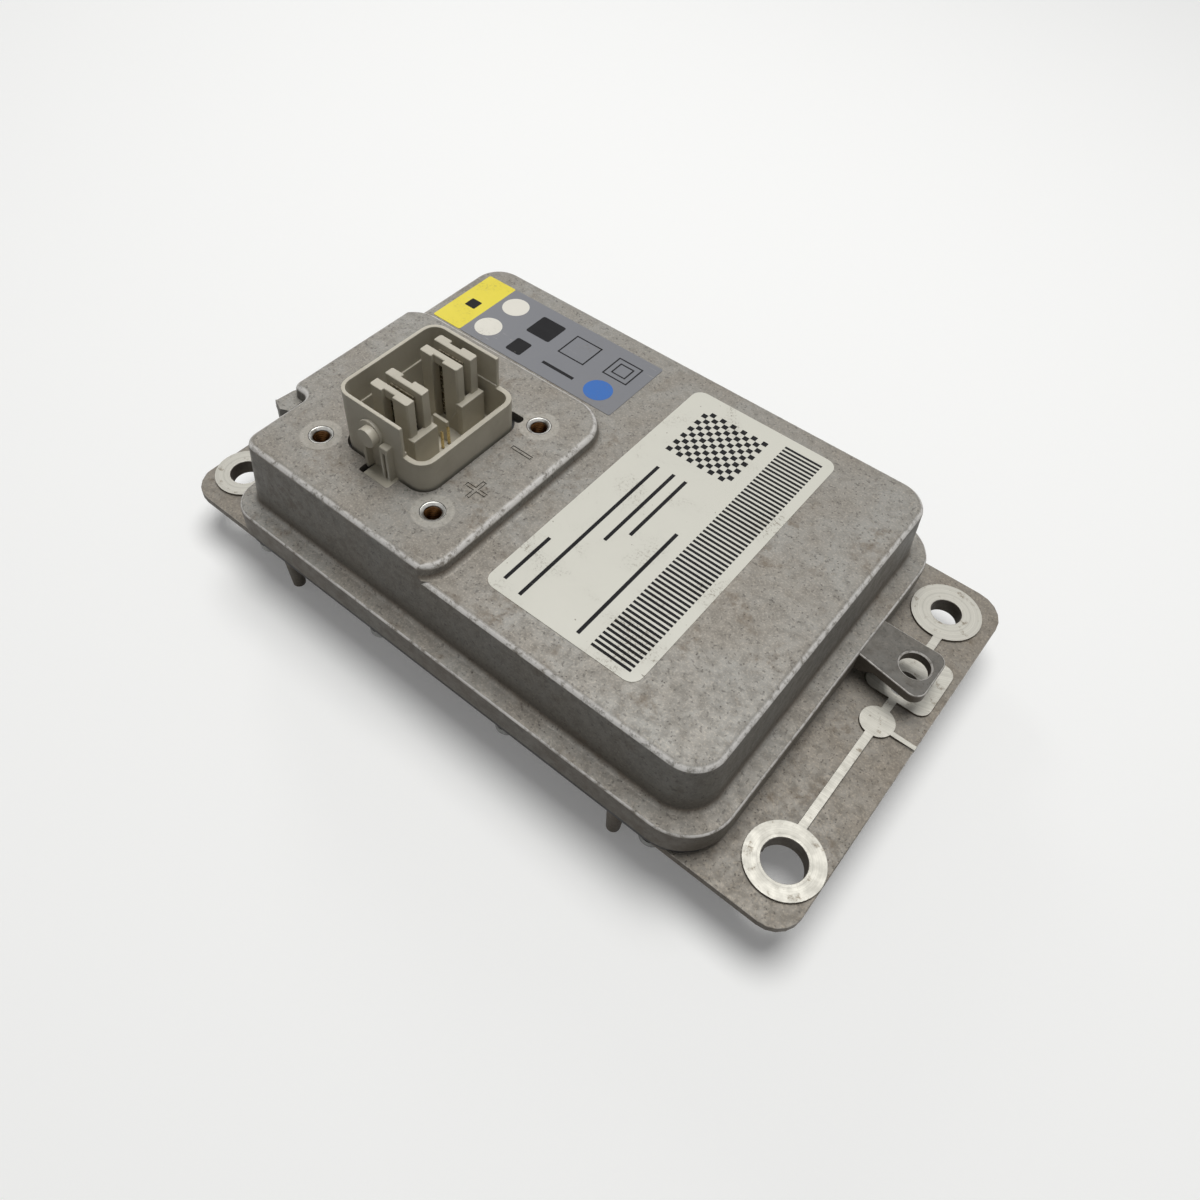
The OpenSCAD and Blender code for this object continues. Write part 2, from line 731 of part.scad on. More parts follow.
// One prismatic cell with its two terminals, vent and filling plug
function cell_x(i) = stack_x0 + cell_t / 2 + i * cell_step;
module cell(i) {
    x = cell_x(i);
    color("#a9adb2") centred() {
        slab(box_outline(x - cell_t / 2, x + cell_t / 2, tub_y - cell_w / 2, tub_y + cell_w / 2, 2, 4),
            z_cell, cell_h);
        for (y = [front_row_y, back_row_y])
            block(x, y, z_cell_top - 1, [terminal_l, terminal_l, terminal_h + 1]);
        rod([x, plug_y], z_cell_top - 1, 1.6, plug_d);
        difference() {
            rod([x, vent_y], z_cell_top - 1, 1.5, vent_d);
            rod([x, vent_y], z_cell_top + 0.2, 1, vent_d - 1.6);
        }
    }
}

module cell_1() {
    cell(0);
}

module cell_2() {
    cell(1);
}

module cell_3() {
    cell(2);
}

module cell_4() {
    cell(3);
}

// Frames that keep the cells apart and let them swell
module cell_spacers() {
    color("#d9d6c9") centred() for (i = [0:2]) {
        x = cell_x(i) + cell_t / 2;
        translate([x, 0, 0]) difference() {
            translate([0, tub_y - cell_w / 2, z_cell]) cube([spacer_t, cell_w, cell_h]);
            translate([-1, tub_y - cell_w / 2 + 8, z_cell + 6])
                cube([spacer_t + 2, cell_w - 16, cell_h - 12]);
        }
    }
}

module end_insulators() {
    color("#2f3133") centred() for (x = [stack_x0 - end_t, stack_x1])
        translate([x, tub_y - cell_w / 2 + end_in, z_cell]) cube([end_t, cell_w - 2 * end_in, cell_h]);
}

// Outline over all the cells with their end plates
function stack_outline(r) =
    box_outline(stack_x0 - end_t, stack_x1 + end_t, tub_y - cell_w / 2, tub_y + cell_w / 2, r, 4);

// Tray over the cells, with a window at each terminal, vent and plug, and rails for the return bar
module cell_frame() {
    color("#34373a") centred() {
        difference() {
            slab(stack_outline(2), z_cell_top, frame_t);
            for (i = [0:3]) {
                for (y = [front_row_y, back_row_y])
                    block(cell_x(i), y, z_cell_top - 1, [terminal_l + 2, terminal_l + 2, frame_t + 2]);
                rod([cell_x(i), vent_y], z_cell_top - 1, frame_t + 2, vent_d + 2);
                rod([cell_x(i), plug_y], z_cell_top - 1, frame_t + 2, plug_d + 1.5);
            }
        }
        for (i = [0:3]) block(cell_x(i), return_y, z_cell_top + frame_t - 0.2,
            [4, bar_w, terminal_h - frame_t + 0.2]);
    }
}

// Bars with a raised loop in the middle, so the cells can swell
module cell_links() {
    half = cell_step / 2 + terminal_l / 2;
    color("#c9794a") centred() for (i = [0:2]) {
        y = i == 1 ? front_row_y : back_row_y;
        x = cell_x(i) + cell_step / 2;
        translate([x, y + bar_w / 2, z_bar]) rotate([90, 0, 0]) linear_extrude(bar_w)
            polygon([[-half, 0], [-4, 0], [-2.4, 1.2], [2.4, 1.2], [4, 0], [half, 0], [half, bar_t],
                [4.6, bar_t], [3, 1.2 + bar_t], [-3, 1.2 + bar_t], [-4.6, bar_t], [-half, bar_t]]);
    }
}

// A bar's leg, from its level down to the board, with a foot that is soldered there
module bar_leg(y) {
    block(bar_leg_x, y, z_board_top, [bar_t, bar_leg_w, z_bar_top - z_board_top]);
    block(bar_leg_x - 1.4, y, z_board_top, [2.8 + bar_t, bar_leg_w, bar_t]);
}

module positive_busbar() {
    right = cell_x(0) + terminal_l / 2;
    color("#c9794a") centred() {
        block((right + bar_leg_x) / 2, front_row_y, z_bar, [right - bar_leg_x, bar_w, bar_t]);
        bar_leg(front_row_y);
    }
}

module negative_busbar() {
    right = cell_x(3) + terminal_l / 2;
    color("#c9794a") centred() {
        block(cell_x(3), (front_row_y + return_y) / 2, z_bar,
            [terminal_l, return_y - front_row_y + bar_w, bar_t]);
        block((right + bar_leg_x) / 2, return_y, z_bar, [right - bar_leg_x, bar_w, bar_t]);
        bar_leg(return_y);
    }
}

// Posts for the board, on a frame that stands on the tub floor
function board_corners() = [for (s = corner_signs) [(bay_x0 + bay_x1) / 2 + s.x * (bay_l / 2 - leg_in),
    tub_y + s.y * (board_w / 2 - leg_in)]];
module board_carrier() {
    color("#3b3e41") centred() difference() {
        union() {
            difference() {
                block((bay_x0 + bay_x1) / 2, tub_y, wall_t, [bay_l, board_w, 2]);
                block((bay_x0 + bay_x1) / 2, tub_y, wall_t - 1, [bay_l - 16, board_w - 16, 4]);
            }
            for (p = board_corners()) rod(p, wall_t, z_board - wall_t, leg_d);
        }
        for (p = board_corners()) rod(p, z_board - board_screw_l, board_screw_l + 1, board_screw_d - 0.5);
    }
}

module control_board() {
    color("#1f5c3a") centred() difference() {
        slab(box_outline(bay_x0, bay_x1, tub_y - board_w / 2, tub_y + board_w / 2, 2, 4), z_board, board_t);
        for (p = board_corners()) rod(p, z_board - 1, board_t + 2, board_screw_d + 0.3);
    }
}

// Power transistors in two rows, each with its metal tab
module power_switches() {
    color("#26282a") centred() for (i = [0:3]) for (k = [0, 1])
        translate([bay_x0 + k * switch_step.x, tub_y - board_w / 2 + i * switch_step.y, z_board_top]
            + switch_in) {
            block(0, 0, 0, [switch_l, switch_l, switch_t]);
            block(switch_l / 2 + 0.8 - eps, 0, 0, [switch_t, switch_l - 0.8, 0.5]);
        }
}

// A bridge of resistance alloy between two copper-wide feet
module shunt_resistor() {
    color("#9a6b4f") centred() translate([bay_x0 + shunt_in.x, tub_y + shunt_in.y, z_board_top])
        rotate([90, 0, 90]) linear_extrude(shunt_w)
            polygon([[0, 0], [5, 0], [6.5, 1.6], [13.5, 1.6], [15, 0], [20, 0], [20, 1.2], [15.6, 1.2],
                [14.1, 2.8], [5.9, 2.8], [4.4, 1.2], [0, 1.2]]);
}

module capacitors() {
    color("#3d4a63") centred() for (i = [0:3])
        rod([bay_x0 + capacitor_in.x, tub_y + capacitor_in.y + i * capacitor_step], z_board_top,
            capacitor_h, capacitor_d);
}

module board_screws() {
    color("#b8babc") centred() for (p = board_corners()) {
        rod(p, z_board_top, 1.8, board_screw_d + 2.4);
        rod(p, z_board_top - board_screw_l, board_screw_l + 0.5, board_screw_d - 0.5);
    }
}

// Plug header: shroud, foot with four ears, and two towers that carry the contacts
module shroud_outline(inset) {
    polygon(box_outline(-header_l / 2 + inset, header_l / 2 - inset, -header_w / 2 + inset,
        header_w / 2 - inset, header_r - inset));
}

module shroud() {
    top = z_platform + header_h;
    difference() {
        translate([0, 0, z_foot]) linear_extrude(top - z_foot) shroud_outline(0);
        translate([0, 0, z_ceiling]) linear_extrude(top) shroud_outline(header_wall);
        translate([0, 0, top - ledge_h]) linear_extrude(top) shroud_outline(header_wall - ledge_t);
        translate([header_l / 2 - header_low_l, -header_w, z_platform + header_low_h])
            cube([header_l, 2 * header_w, header_h]);
    }
}

// Outline of the foot and its seal, which also reach round the key
module foot_outline() {
    polygon(box_outline(-foot_l / 2, foot_l / 2, -foot_w / 2, foot_w / 2, header_r));
    translate([key_x0 - foot_edge, -opening_w / 2 - key_y - foot_edge])
        square([key_x1 - key_x0 + 2 * foot_edge, key_y + foot_edge + header_r]);
}

module header_foot() {
    difference() {
        translate([0, 0, z_foot]) linear_extrude(foot_t) {
            foot_outline();
            for (s = [-1, 1]) translate([s * ear_x - ear_l / 2, -ear_y - ear_w / 2])
                square([ear_l, 2 * ear_y + ear_w]);
        }
        for (p = insert_places) rod(p - header, z_foot - 1, foot_t + 2, insert_boss_d + 1);
        for (p = header_screw_places) rod(p - header, z_foot - 1, foot_t + 2, header_screw_d + 0.4);
    }
}

// The header's pad in the key, shrunk by g
module key_pad(g, z, h) {
    translate([key_pad_x0 + g, -opening_w / 2 - key_y + key_gap + g, z])
        cube([key_x1 - key_gap - key_pad_x0 - 2 * g, key_y + header_gap + 1, h]);
}

// One tower: two plates with a slot between them, a window in each outer face and a foot in front
module tower(y) {
    top = z_platform + tower_h;
    difference() {
        union() {
            slab(box_outline(tower_x - tower_l / 2, tower_x + tower_l / 2, y - tower_w / 2, y + tower_w / 2,
                0.6, 2), z_ceiling - 1, top - z_ceiling + 1);
            block(tower_x + tower_l / 2 + tower_foot_l / 2 - 0.5, y, z_ceiling - 1,
                [tower_foot_l + 1, tower_foot_w, z_platform + tower_foot_h - z_ceiling + 1]);
        }
        block(tower_x + slot_in, y, z_ceiling, [tower_l, slot_w, top]);
        for (s = [-1, 1]) {
            block(window_x, y + s * tower_w / 2, z_ceiling, [window_l, 2 * window_d, top]);
            block(window_x, y + s * tower_w / 2, z_ceiling, [window_l, tower_w - slot_w + 1,
                top - lintel_h - z_ceiling]);
        }
    }
}

// Front wall of the header: disc and pin, and a lug; ribs run down from them to the pad in the key
module side_latch() {
    y = -header_w / 2;
    z = z_platform + latch_z;
    translate([latch_x, y + 0.5, z]) rotate([90, 0, 0]) cylinder(h = 1.5, d = latch_d);
    translate([latch_pin_x, y + 0.5, z + 0.3]) rotate([90, 0, 0])
        cylinder(h = latch_pin_l + 0.5, d = latch_pin_d);
    translate([lug_x, y - lug.y, z_platform + lug_z - lug.z]) cube([lug.x, lug.y + 0.5, lug.z]);
    for (x = latch_rib_xs) translate([x, y - latch_rib[0], z_platform - key_pad_h - 0.2])
        cube([latch_rib[1], latch_rib[0] + 0.5, lug_z + key_pad_h - 1]);
}

module ledge_between_towers() {
    block(mid_ledge_x, tower_ys[1] - tower_w / 2 - mid_ledge.y / 2 + 0.1, z_ceiling - 1,
        [mid_ledge.x, mid_ledge.y, z_platform + mid_ledge_h - z_ceiling + 1]);
}

module header_housing() {
    color("#b9b3a2") centred() translate([header.x, header.y, 0]) difference() {
        union() {
            shroud();
            header_foot();
            for (y = tower_ys) tower(y);
            ledge_between_towers();
            side_latch();
            key_pad(0, z_foot, z_platform - key_pad_h - z_foot);
        }
        for (y = tower_ys) block(spring_x, y, z_foot - 1, [spring_l + 0.4, slot_w, z_ceiling - z_foot + 2]);
        for (y = signal_ys())
            block(signal_x, y, z_foot - 1, [signal_w + 0.2, signal_w + 0.2, z_ceiling - z_foot + 2]);
    }
}

// The rows of the signal pins
function signal_ys() = [signal_y, signal_y - signal_step];

module header_seal() {
    color("#2a2c2e") centred() translate([header.x, header.y, z_foot_top]) difference() {
        linear_extrude(header_seal_t) foot_outline();
        translate([0, 0, -1]) linear_extrude(header_seal_t + 2) shroud_outline(-0.2);
        key_pad(-0.2, -1, header_seal_t + 2);
        for (p = insert_places) rod(p - header, -1, header_seal_t + 2, insert_boss_d + 1);
    }
}

module header_screws() {
    color("#b8babc") centred() for (p = header_screw_places) {
        rod(p, z_foot - header_screw_head[1], header_screw_head[1], header_screw_head[0]);
        rod(p, z_foot - 0.5, foot_t + header_screw_l + 0.3, header_screw_d);
    }
}

// A contact: two bowed springs in the tower's slot, a yoke under the header and a leg to the board
module contact_spring() {
    low = z_ceiling + 2;
    high = z_platform + tower_h - spring_top;
    wall = slot_w / 2 - spring_gap;
    translate([-spring_l / 2, 0, 0]) rotate([90, 0, 90]) linear_extrude(spring_l)
        polygon([[wall, z_yoke], [wall, low], [wall - spring_bow, high - 5], [wall, high],
            [wall - spring_t, high], [wall - spring_bow - spring_t, high - 5], [wall - spring_t, low],
            [wall - spring_t, z_yoke]]);
}

module contact(y) {
    centred() translate([header.x + spring_x, header.y + y, 0]) {
        contact_spring();
        mirror([0, 1, 0]) contact_spring();
        block(0, 0, z_yoke, [spring_l, slot_w - 2 * spring_gap, contact_t]);
        block(0, 0, z_board_top, [contact_w, 2 * contact_t, z_yoke - z_board_top + contact_t]);
        block(0, 0, z_board_top, [contact_w, contact_foot_l, contact_t]);
    }
}

module positive_contact() {
    color("#5f5a50") contact(tower_ys[0]);
}

module negative_contact() {
    color("#5f5a50") contact(tower_ys[1]);
}

// Signal pins, bent under the header so that they reach the board
module signal_pins() {
    z_bend = z_foot - 3;
    back = 3.2;
    color("#d8a93c") centred() translate([header.x + signal_x, header.y, 0]) for (y = signal_ys()) {
        block(0, y, z_bend, [signal_w, signal_w, z_platform + 3.3 - z_bend]);
        block(-back / 2, y, z_bend, [back + signal_w, signal_w, signal_w]);
        block(-back, y, z_board_top, [signal_w, signal_w, z_bend - z_board_top + signal_w]);
    }
}

module threaded_inserts() {
    color("#b9a26a") centred() for (p = insert_places) difference() {
        rod(p, z_platform - insert_l, insert_l, insert_d);
        rod(p, z_platform - insert_l + insert_floor, insert_l, thread_d);
    }
}

module housing_screws() {
    color("#9b9da0") centred() for (p = screw_places) difference() {
        union() {
            rod(p, z_plate - screw_head_h, screw_head_h, screw_head_d);
            rod(p, z_plate - 0.5, plate_t + seal_t + screw_depth + 0.5, screw_core_d);
        }
        translate([p.x, p.y, z_plate - screw_head_h - 1])
            cylinder(h = screw_head_h, d = screw_key, $fn = 6);
    }
}

// Bare label films on the cover's top
module white_label() {
    right = x1 - label_x;
    color("#d6d3c8") centred()
        slab(box_outline(right - label_l, right, y0 + label_front, y1 - label_y, label_r), z_top, label_t);
}

module notice(left, length) {
    slab(box_outline(left, left + length, platform_y1 + notice_gap, y1 - label_y, 0.6, 2), z_top, label_t);
}

module yellow_label() {
    color("#e4d23e") centred() notice(x0 + notice_x, yellow_l);
}

module grey_label() {
    color("#82838c") centred() notice(x0 + notice_x + yellow_l, grey_l);
}

base_casting();
cover_casting();
housing_seal();
thermal_pad();
cell_1();
cell_2();
cell_3();
cell_4();
cell_spacers();
end_insulators();
cell_frame();
cell_links();
positive_busbar();
negative_busbar();
board_carrier();
control_board();
power_switches();
shunt_resistor();
capacitors();
board_screws();
header_housing();
header_seal();
header_screws();
positive_contact();
negative_contact();
signal_pins();
threaded_inserts();
housing_screws();
white_label();
grey_label();
yellow_label();
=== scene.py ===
"""Looks of a small lithium car battery: die-cast housing, plug header, bolt ears and labels."""
import json
import math
import random

import bmesh
import bpy
from mathutils import Matrix, Vector


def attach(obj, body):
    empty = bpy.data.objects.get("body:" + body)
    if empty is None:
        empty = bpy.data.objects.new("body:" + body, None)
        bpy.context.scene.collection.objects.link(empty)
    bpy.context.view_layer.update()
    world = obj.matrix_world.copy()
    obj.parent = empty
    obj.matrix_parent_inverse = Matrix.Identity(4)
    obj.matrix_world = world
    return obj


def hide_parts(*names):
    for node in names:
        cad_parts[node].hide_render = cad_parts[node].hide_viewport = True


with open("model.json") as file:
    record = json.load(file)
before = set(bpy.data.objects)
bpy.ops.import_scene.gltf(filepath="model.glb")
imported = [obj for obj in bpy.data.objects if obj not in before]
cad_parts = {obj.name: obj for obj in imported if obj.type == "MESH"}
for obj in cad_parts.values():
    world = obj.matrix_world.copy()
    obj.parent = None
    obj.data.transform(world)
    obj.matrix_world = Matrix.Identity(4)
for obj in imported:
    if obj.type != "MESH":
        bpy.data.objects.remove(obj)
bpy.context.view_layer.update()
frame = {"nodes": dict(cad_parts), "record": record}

# Camera of the photograph: angles in degrees, sensor and lens in millimetres, places in metres
CAMERA_AZIMUTH, CAMERA_ELEVATION, CAMERA_ROLL = 37.202, 52.906, 3.115
CAMERA_PLACE, CLIP_START = (0.10885, -0.15655, 0.2463), 0.01
SENSOR, LENS, LENS_SHIFT = 36.0, 28.602, (0.0367, -0.0081)

# Sizes in millimetres, with the middle of the cover as zero, as in the part's source
MM = 0.001
COVER = (168.6, 118.0)
WALL_H, DRAFT, WALL_T = 18.9, math.radians(5), 3.0
CORNER_R, EDGE_R, ROOT_R = 9.5, 2.0, 1.5
NOTCH_L, NOTCH_W, NOTCH_R, STEP_R = 7.4, 25.5, 5.0, 2.5
FLANGE_T, FLANGE_WIDE, FLANGE_NARROW, FLANGE_R, FLANGE_EDGE_R = 8.6, 5.8, 3.7, 15.0, 1.0
SEAL_T, PLATE_T, TUB_DEPTH = 2.7, 3.0, 14.8
PLATFORM_H, PLATFORM_L, PLATFORM_W, PLATFORM_R = 4.7, 82.6, 79.2, 13.0
SLOPE = math.radians(10)
EAR_RIGHT, EAR_LEFT, PLATE_R, BASE_SETBACK = 25.7, 17.4, 9.0, 1.7
FACE_H = 0.8

# How much sharper the platform and the flange are at a front corner, and the least radius of any corner and
# of the inner one of the step
FRONT_LESS, MIN_R, MIN_INNER_R = 5, 0.6, 0.4

# Earth tab at the right end, and the gussets below it
TAB_L, TAB_HOLE_X, TAB_Y, TAB_HOLE_D, TAB_T = 20.0, 6.4, 18.8, 8.8, 3.2
TAB_BACK, TAB_FRONT, TAB_FLARE, TAB_DROP = 8.2, 6.5, 3.6, 0.8
TAB_R, TAB_ROOT_R, TAB_EDGE_R, TAB_IN, TAB_CHAMFER = 3.5, 0.5, 0.6, 2, 0.4
GUSSET_T, GUSSET_LAP, GUSSET_FOOT, GUSSET_SHORT = 2.4, 1, 2, 5

# Rest of the casting gate: where its corner lies from the step, and its outline as (x, y, radius) from there
GATE_OUT, GATE_FRONT, GATE_H, GATE_RINGS = 2.6, 6.8, 7, 7
GATE_OUTLINE = ((0, 1.5, 0.6), (3.6, 0, 0.6), (6.4, 0.8, 0.4), (6.4, 8.5, 0.4), (0.6, 8.5, 0.8))
GATE_SEED, GATE_GRAIN, GATE_BITE = 5, 0.15, 0.5

# Plug header and the engraved signs beside it; the key's notch is (low x, high x, depth)
HEADER_X, HEADER_Y, HEADER_L, HEADER_W = 45.9, 38.9, 32.6, 39.0
HEADER_R, HEADER_GAP, HEADER_EDGE = 5.0, 0.8, 0.3
KEY, KEY_R = (-4.8, 6.6, 4.3), 0.9
GAP, GAP_IN, GAP_R = (5.4, 3.0), 3, 1.2
MARK_X, MARK_YS, MARK_L, MARK_W, MARK_LINE, MARK_DEPTH = 25.2, (-8.7, 10.5), 7.4, 1.5, 0.4, 0.3
HEADER_WALL, TOWER_X, TOWER_L, TOWER_W, TOWER_H, TOWER_GAPS = 1.7, -2.65, 14.1, 8.8, 20.3, (5.5, 2.2)
SLOT_W, SLOT_IN, WINDOW_X, WINDOW_L = 2.7, 2.0, -3.15, 4.1
TOWER_FOOT_L, TOWER_FOOT_IN, TOWER_FOOT_H = 1.7, 1.0, 8.3
LEDGE_X, LEDGE, LEDGE_H, LEDGE_WALL = 1.35, (5.5, 5.0), 4.3, 1.3

# Inserts; each row of the mouth is (how far outside the thread, how far below the top)
INSERT_PITCH, INSERT_SHIFT, INSERT_D, THREAD_D, INSERT_L = 44.4, -0.5, 7.4, 5.0, 8.5
INSERT_LIP, INSERT_FLOOR, INSERT_SIDES = 0.2, 1, 40
INSERT_MOUTH = ((0.8, 0), (0.7, 0.08), (0.1, 0.5))
THREAD_PITCH, THREAD_H, THREAD_RUN_IN, THREAD_STEPS = 0.8, 0.35, 0.6, 5
BOSS_WALL, BOSS_FLOOR, CIRCLE_R = 1.8, 1.2, 5.8

# How far each bolt ring lies in from its corner of the base
BOLT_BACK_RIGHT, BOLT_FRONT_RIGHT = (14.2, 14.1), (10.9, 17.0)
BOLT_FRONT_LEFT, BOLT_BACK_LEFT = (10.1, 15.0), (10.1, 14.1)

# Widths of the base's rounded edges, how far from a bolt's middle they lie, and how near counts as there
BORE_EDGE, FACE_EDGE, PLATE_LOW_EDGE, PLATE_TOP_EDGE = 0.3, 0.14, 0.7, 0.25
BORE_WITHIN, FACE_BEYOND, PLATE_BEYOND = 7, 8, 13
NEAR_LEVEL, NEAR_OUTLINE = 0.1, 0.5

# Print on the labels: a field is (low x, high x, low y, high y), and a strip is (x, low y, high y)
LABEL_T, PRINT_T, PRINT_R, SQUARE_R = 0.15, 0.03, 0.05, 0.8
CHECKS_AT, CHECKS_SIZE, CHECKS, CHECK_GAP = (14.3, 23.3), 22.2, 12, 0.1
BAR_XS, BAR_Y, BAR_PITCH, BAR_T, BARS = (40.8, 53.3), -45.7, 1.6, 0.85, 59
STRIPS = ((17.2, -45.6, 15.9), (22.5, -16.4, 16.3), (26.7, -10.4, 16.2), (10.8, -44.1, -25.6),
          (36.2, -45.1, -1.6))
STRIP_HALF = 0.55
PALE_DISCS, PALE_DISC_D = ((-62.5, 44.3), (-62.5, 30.6)), 9.2
BLUE_DISC, BLUE_DISC_D, DISC_SIDES = (-16.4, 30.2), 9.4, 48
LARGE_SQUARE, LARGE_SQUARE_L = (-47.5, 42.2), 9.6
SMALL_FIELD, BAR_FIELD = (-51.5, -45.5, 26.2, 33.0), (-38.0, -25.5, 28.5, 29.7)
SQUARE_FRAMES, FRAME_LINE = (((-32.5, 41.4), 10.5), ((-16.0, 42.4), 9.5), ((-16.0, 42.4), 5.5)), 0.5
YELLOW_SQUARE, YELLOW_SQUARE_L, YELLOW_SQUARE_R = (-74.4, 36.3), 4.2, 0.4

# How far tools reach past what they cut or join
PAST, SLIP, LAP, EPS = 1, 0.1, 0.2, 0.02
WASTE_PAST, WASTE_LAP, UPPER_ROOM_IN = 10, 0.3, 1.5

# Points nearer than this are welded, faces within this angle are one, and edges above this angle are rounded
WELD, FLAT_ANGLE, EDGE_ANGLE = 0.002, math.radians(0.6), math.radians(40)

# Heights of dirt, wear and painted shade: how thick a layer is and how softly it ends, the painted shade low on
# the walls above the flange, and the painted shade below the top of the inserts
SOFT, TAB_SKIN, WALL_SHADE_LOW, WALL_SHADE_HIGH, DARK_FROM, DARK_TO = 0.1, 0.3, 1, 7, 0.4, 1.2
FACE_BELOW, FACE_ABOVE, FACE_SOFT, FACE_FADE, WHOLE_BASE_R = 0.12, 0.2, 0.05, 0.5, 400

# Colours of dirt and wear, of painted shade, and of rubbed edges that are partly a painted highlight, as sRGB
# parts of 255
STAIN, PORE, WORN_AND_HIGHLIGHT = (98, 82, 62), (56, 50, 44), (216, 213, 208)
FOOT_DARK, FACE_SPOT, CLOUD_SHIFT = (84, 72, 58), (104, 92, 74), (4, 8, 12)
GRIME, SMEAR, SCRATCH = (104, 90, 70), (90, 76, 58), (172, 168, 158)

# Floor and world, as they light the part and as the camera sees them
FLOOR_D, FLOOR_SIDES, FLOOR_ROUGH, FLOOR_GLOW = 1900, 128, 0.9, 0.14
FLOOR_LIT, FLOOR_SEEN = (120, 119, 116), (240, 240, 238)
WORLD_TINT, WORLD_LIT, WORLD_SEEN = (0.97, 0.98, 1.0, 1.0), 0.15, 0.95
LAMP_TARGET = (0, 0, 0.03)

Z_PLATE = TUB_DEPTH
Z_PLATE_TOP = Z_PLATE + PLATE_T
Z_FACE = Z_PLATE_TOP + FACE_H
Z_SEAL = Z_PLATE_TOP + SEAL_T
Z_FLANGE = Z_SEAL + FLANGE_T
Z_TAB = Z_FLANGE - TAB_DROP
Z_TOP = Z_FLANGE + WALL_H
Z_PLATFORM = Z_TOP + PLATFORM_H
Z_CEILING = Z_PLATFORM - WALL_T
Z_PRINT = Z_TOP + LABEL_T
FOOT = WALL_H * math.tan(DRAFT)
X0, X1, Y0, Y1 = -COVER[0] / 2, COVER[0] / 2, -COVER[1] / 2, COVER[1] / 2
STEP_Y, FRONT_X0 = Y0 + NOTCH_W, X0 + NOTCH_L
PLATFORM_X1, PLATFORM_Y1 = X0 + PLATFORM_L, Y0 + PLATFORM_W
FLANGE_X0, FLANGE_X1 = X0 - FOOT - FLANGE_NARROW, X1 + FOOT + FLANGE_WIDE
FLANGE_Y0, FLANGE_Y1 = Y0 - FOOT - FLANGE_WIDE, Y1 + FOOT + FLANGE_NARROW
BASE_X0, BASE_X1 = FLANGE_X0 - EAR_LEFT, FLANGE_X1 + EAR_RIGHT
BASE_Y0, BASE_Y1 = FLANGE_Y0 + BASE_SETBACK, FLANGE_Y1
MID = ((BASE_X0 + BASE_X1) / 2, (FLANGE_Y0 + FLANGE_Y1) / 2)
HEADER = (X0 + HEADER_X, Y0 + HEADER_Y)
TAB_HOLE = (FLANGE_X1 + TAB_L - TAB_HOLE_X, TAB_Y)
BOLT_RINGS = ((BASE_X1 - BOLT_BACK_RIGHT[0], BASE_Y1 - BOLT_BACK_RIGHT[1]),
              (BASE_X1 - BOLT_FRONT_RIGHT[0], BASE_Y0 + BOLT_FRONT_RIGHT[1]),
              (BASE_X0 + BOLT_FRONT_LEFT[0], BASE_Y0 + BOLT_FRONT_LEFT[1]),
              (BASE_X0 + BOLT_BACK_LEFT[0], BASE_Y1 - BOLT_BACK_LEFT[1]))
INSERTS = [(HEADER[0] + INSERT_SHIFT + sx * INSERT_PITCH / 2, HEADER[1] + sy * INSERT_PITCH / 2)
           for sy in (-1, 1) for sx in (-1, 1)]


# Camera
def make_camera():
    """The photograph's camera, above and to the right of the part, and rolled a little."""
    angles = (CAMERA_AZIMUTH, CAMERA_ELEVATION, CAMERA_ROLL)
    azimuth, elevation, roll = (math.radians(angle) for angle in angles)
    back = Vector((math.sin(azimuth) * math.cos(elevation), -math.cos(azimuth) * math.cos(elevation),
                   math.sin(elevation)))
    right = Vector((math.cos(azimuth), math.sin(azimuth), 0))
    up = back.cross(right)
    rolled_right = right * math.cos(roll) + up * math.sin(roll)
    rolled_up = up * math.cos(roll) - right * math.sin(roll)
    data = bpy.data.cameras.new("camera")
    data.sensor_fit, data.sensor_width, data.lens = "HORIZONTAL", SENSOR, LENS
    data.shift_x, data.shift_y = LENS_SHIFT
    data.clip_start = CLIP_START
    camera = bpy.data.objects.new("camera", data)
    axes = Matrix((rolled_right, rolled_up, back)).transposed().to_4x4()
    camera.matrix_world = Matrix.Translation(CAMERA_PLACE) @ axes
    bpy.context.scene.collection.objects.link(camera)
    bpy.context.scene.camera = camera


# Outlines
def corner_arc(before, corner, after, r, steps):
    """Points of the arc of radius r that rounds a corner."""
    before, corner, after = Vector(before), Vector(corner), Vector(after)
    u, v = (before - corner).normalized(), (after - corner).normalized()
    half = u.angle(v) / 2
    centre = corner + (u + v).normalized() * r / math.sin(half)
    start, end = corner + u * r / math.tan(half) - centre, corner + v * r / math.tan(half) - centre
    a = math.atan2(start.y, start.x)
    sweep = (math.atan2(end.y, end.x) - a + math.pi) % (2 * math.pi) - math.pi
    return [(centre.x + r * math.cos(a + sweep * i / steps), centre.y + r * math.sin(a + sweep * i / steps))
            for i in range(steps + 1)]


def rounded(corners, steps=12):
    """Outline through corners given as (x, y, radius)."""
    places = [(x, y) for x, y, r in corners]
    outline = []
    for i, corner in enumerate(corners):
        after = places[(i + 1) % len(places)]
        outline += corner_arc(places[i - 1], places[i], after, corner[2], steps)
    return outline


def box_outline(xa, xb, ya, yb, r, steps=12):
    return rounded([(xa, ya, r), (xb, ya, r), (xb, yb, r), (xa, yb, r)], steps)


def circle(centre, d, sides=64):
    turns = [2 * math.pi * i / sides for i in range(sides)]
    return [(centre[0] + d / 2 * math.cos(turn), centre[1] + d / 2 * math.sin(turn)) for turn in turns]


def grown(r, g):
    return max(r + g, MIN_R)


def step_radii(r, g):
    """Radii of the outer and the inner corner of the step, which have to fit beside each other."""
    outer = grown(r, g)
    return outer, max(min(STEP_R - g, NOTCH_L - outer - MIN_INNER_R), MIN_INNER_R)


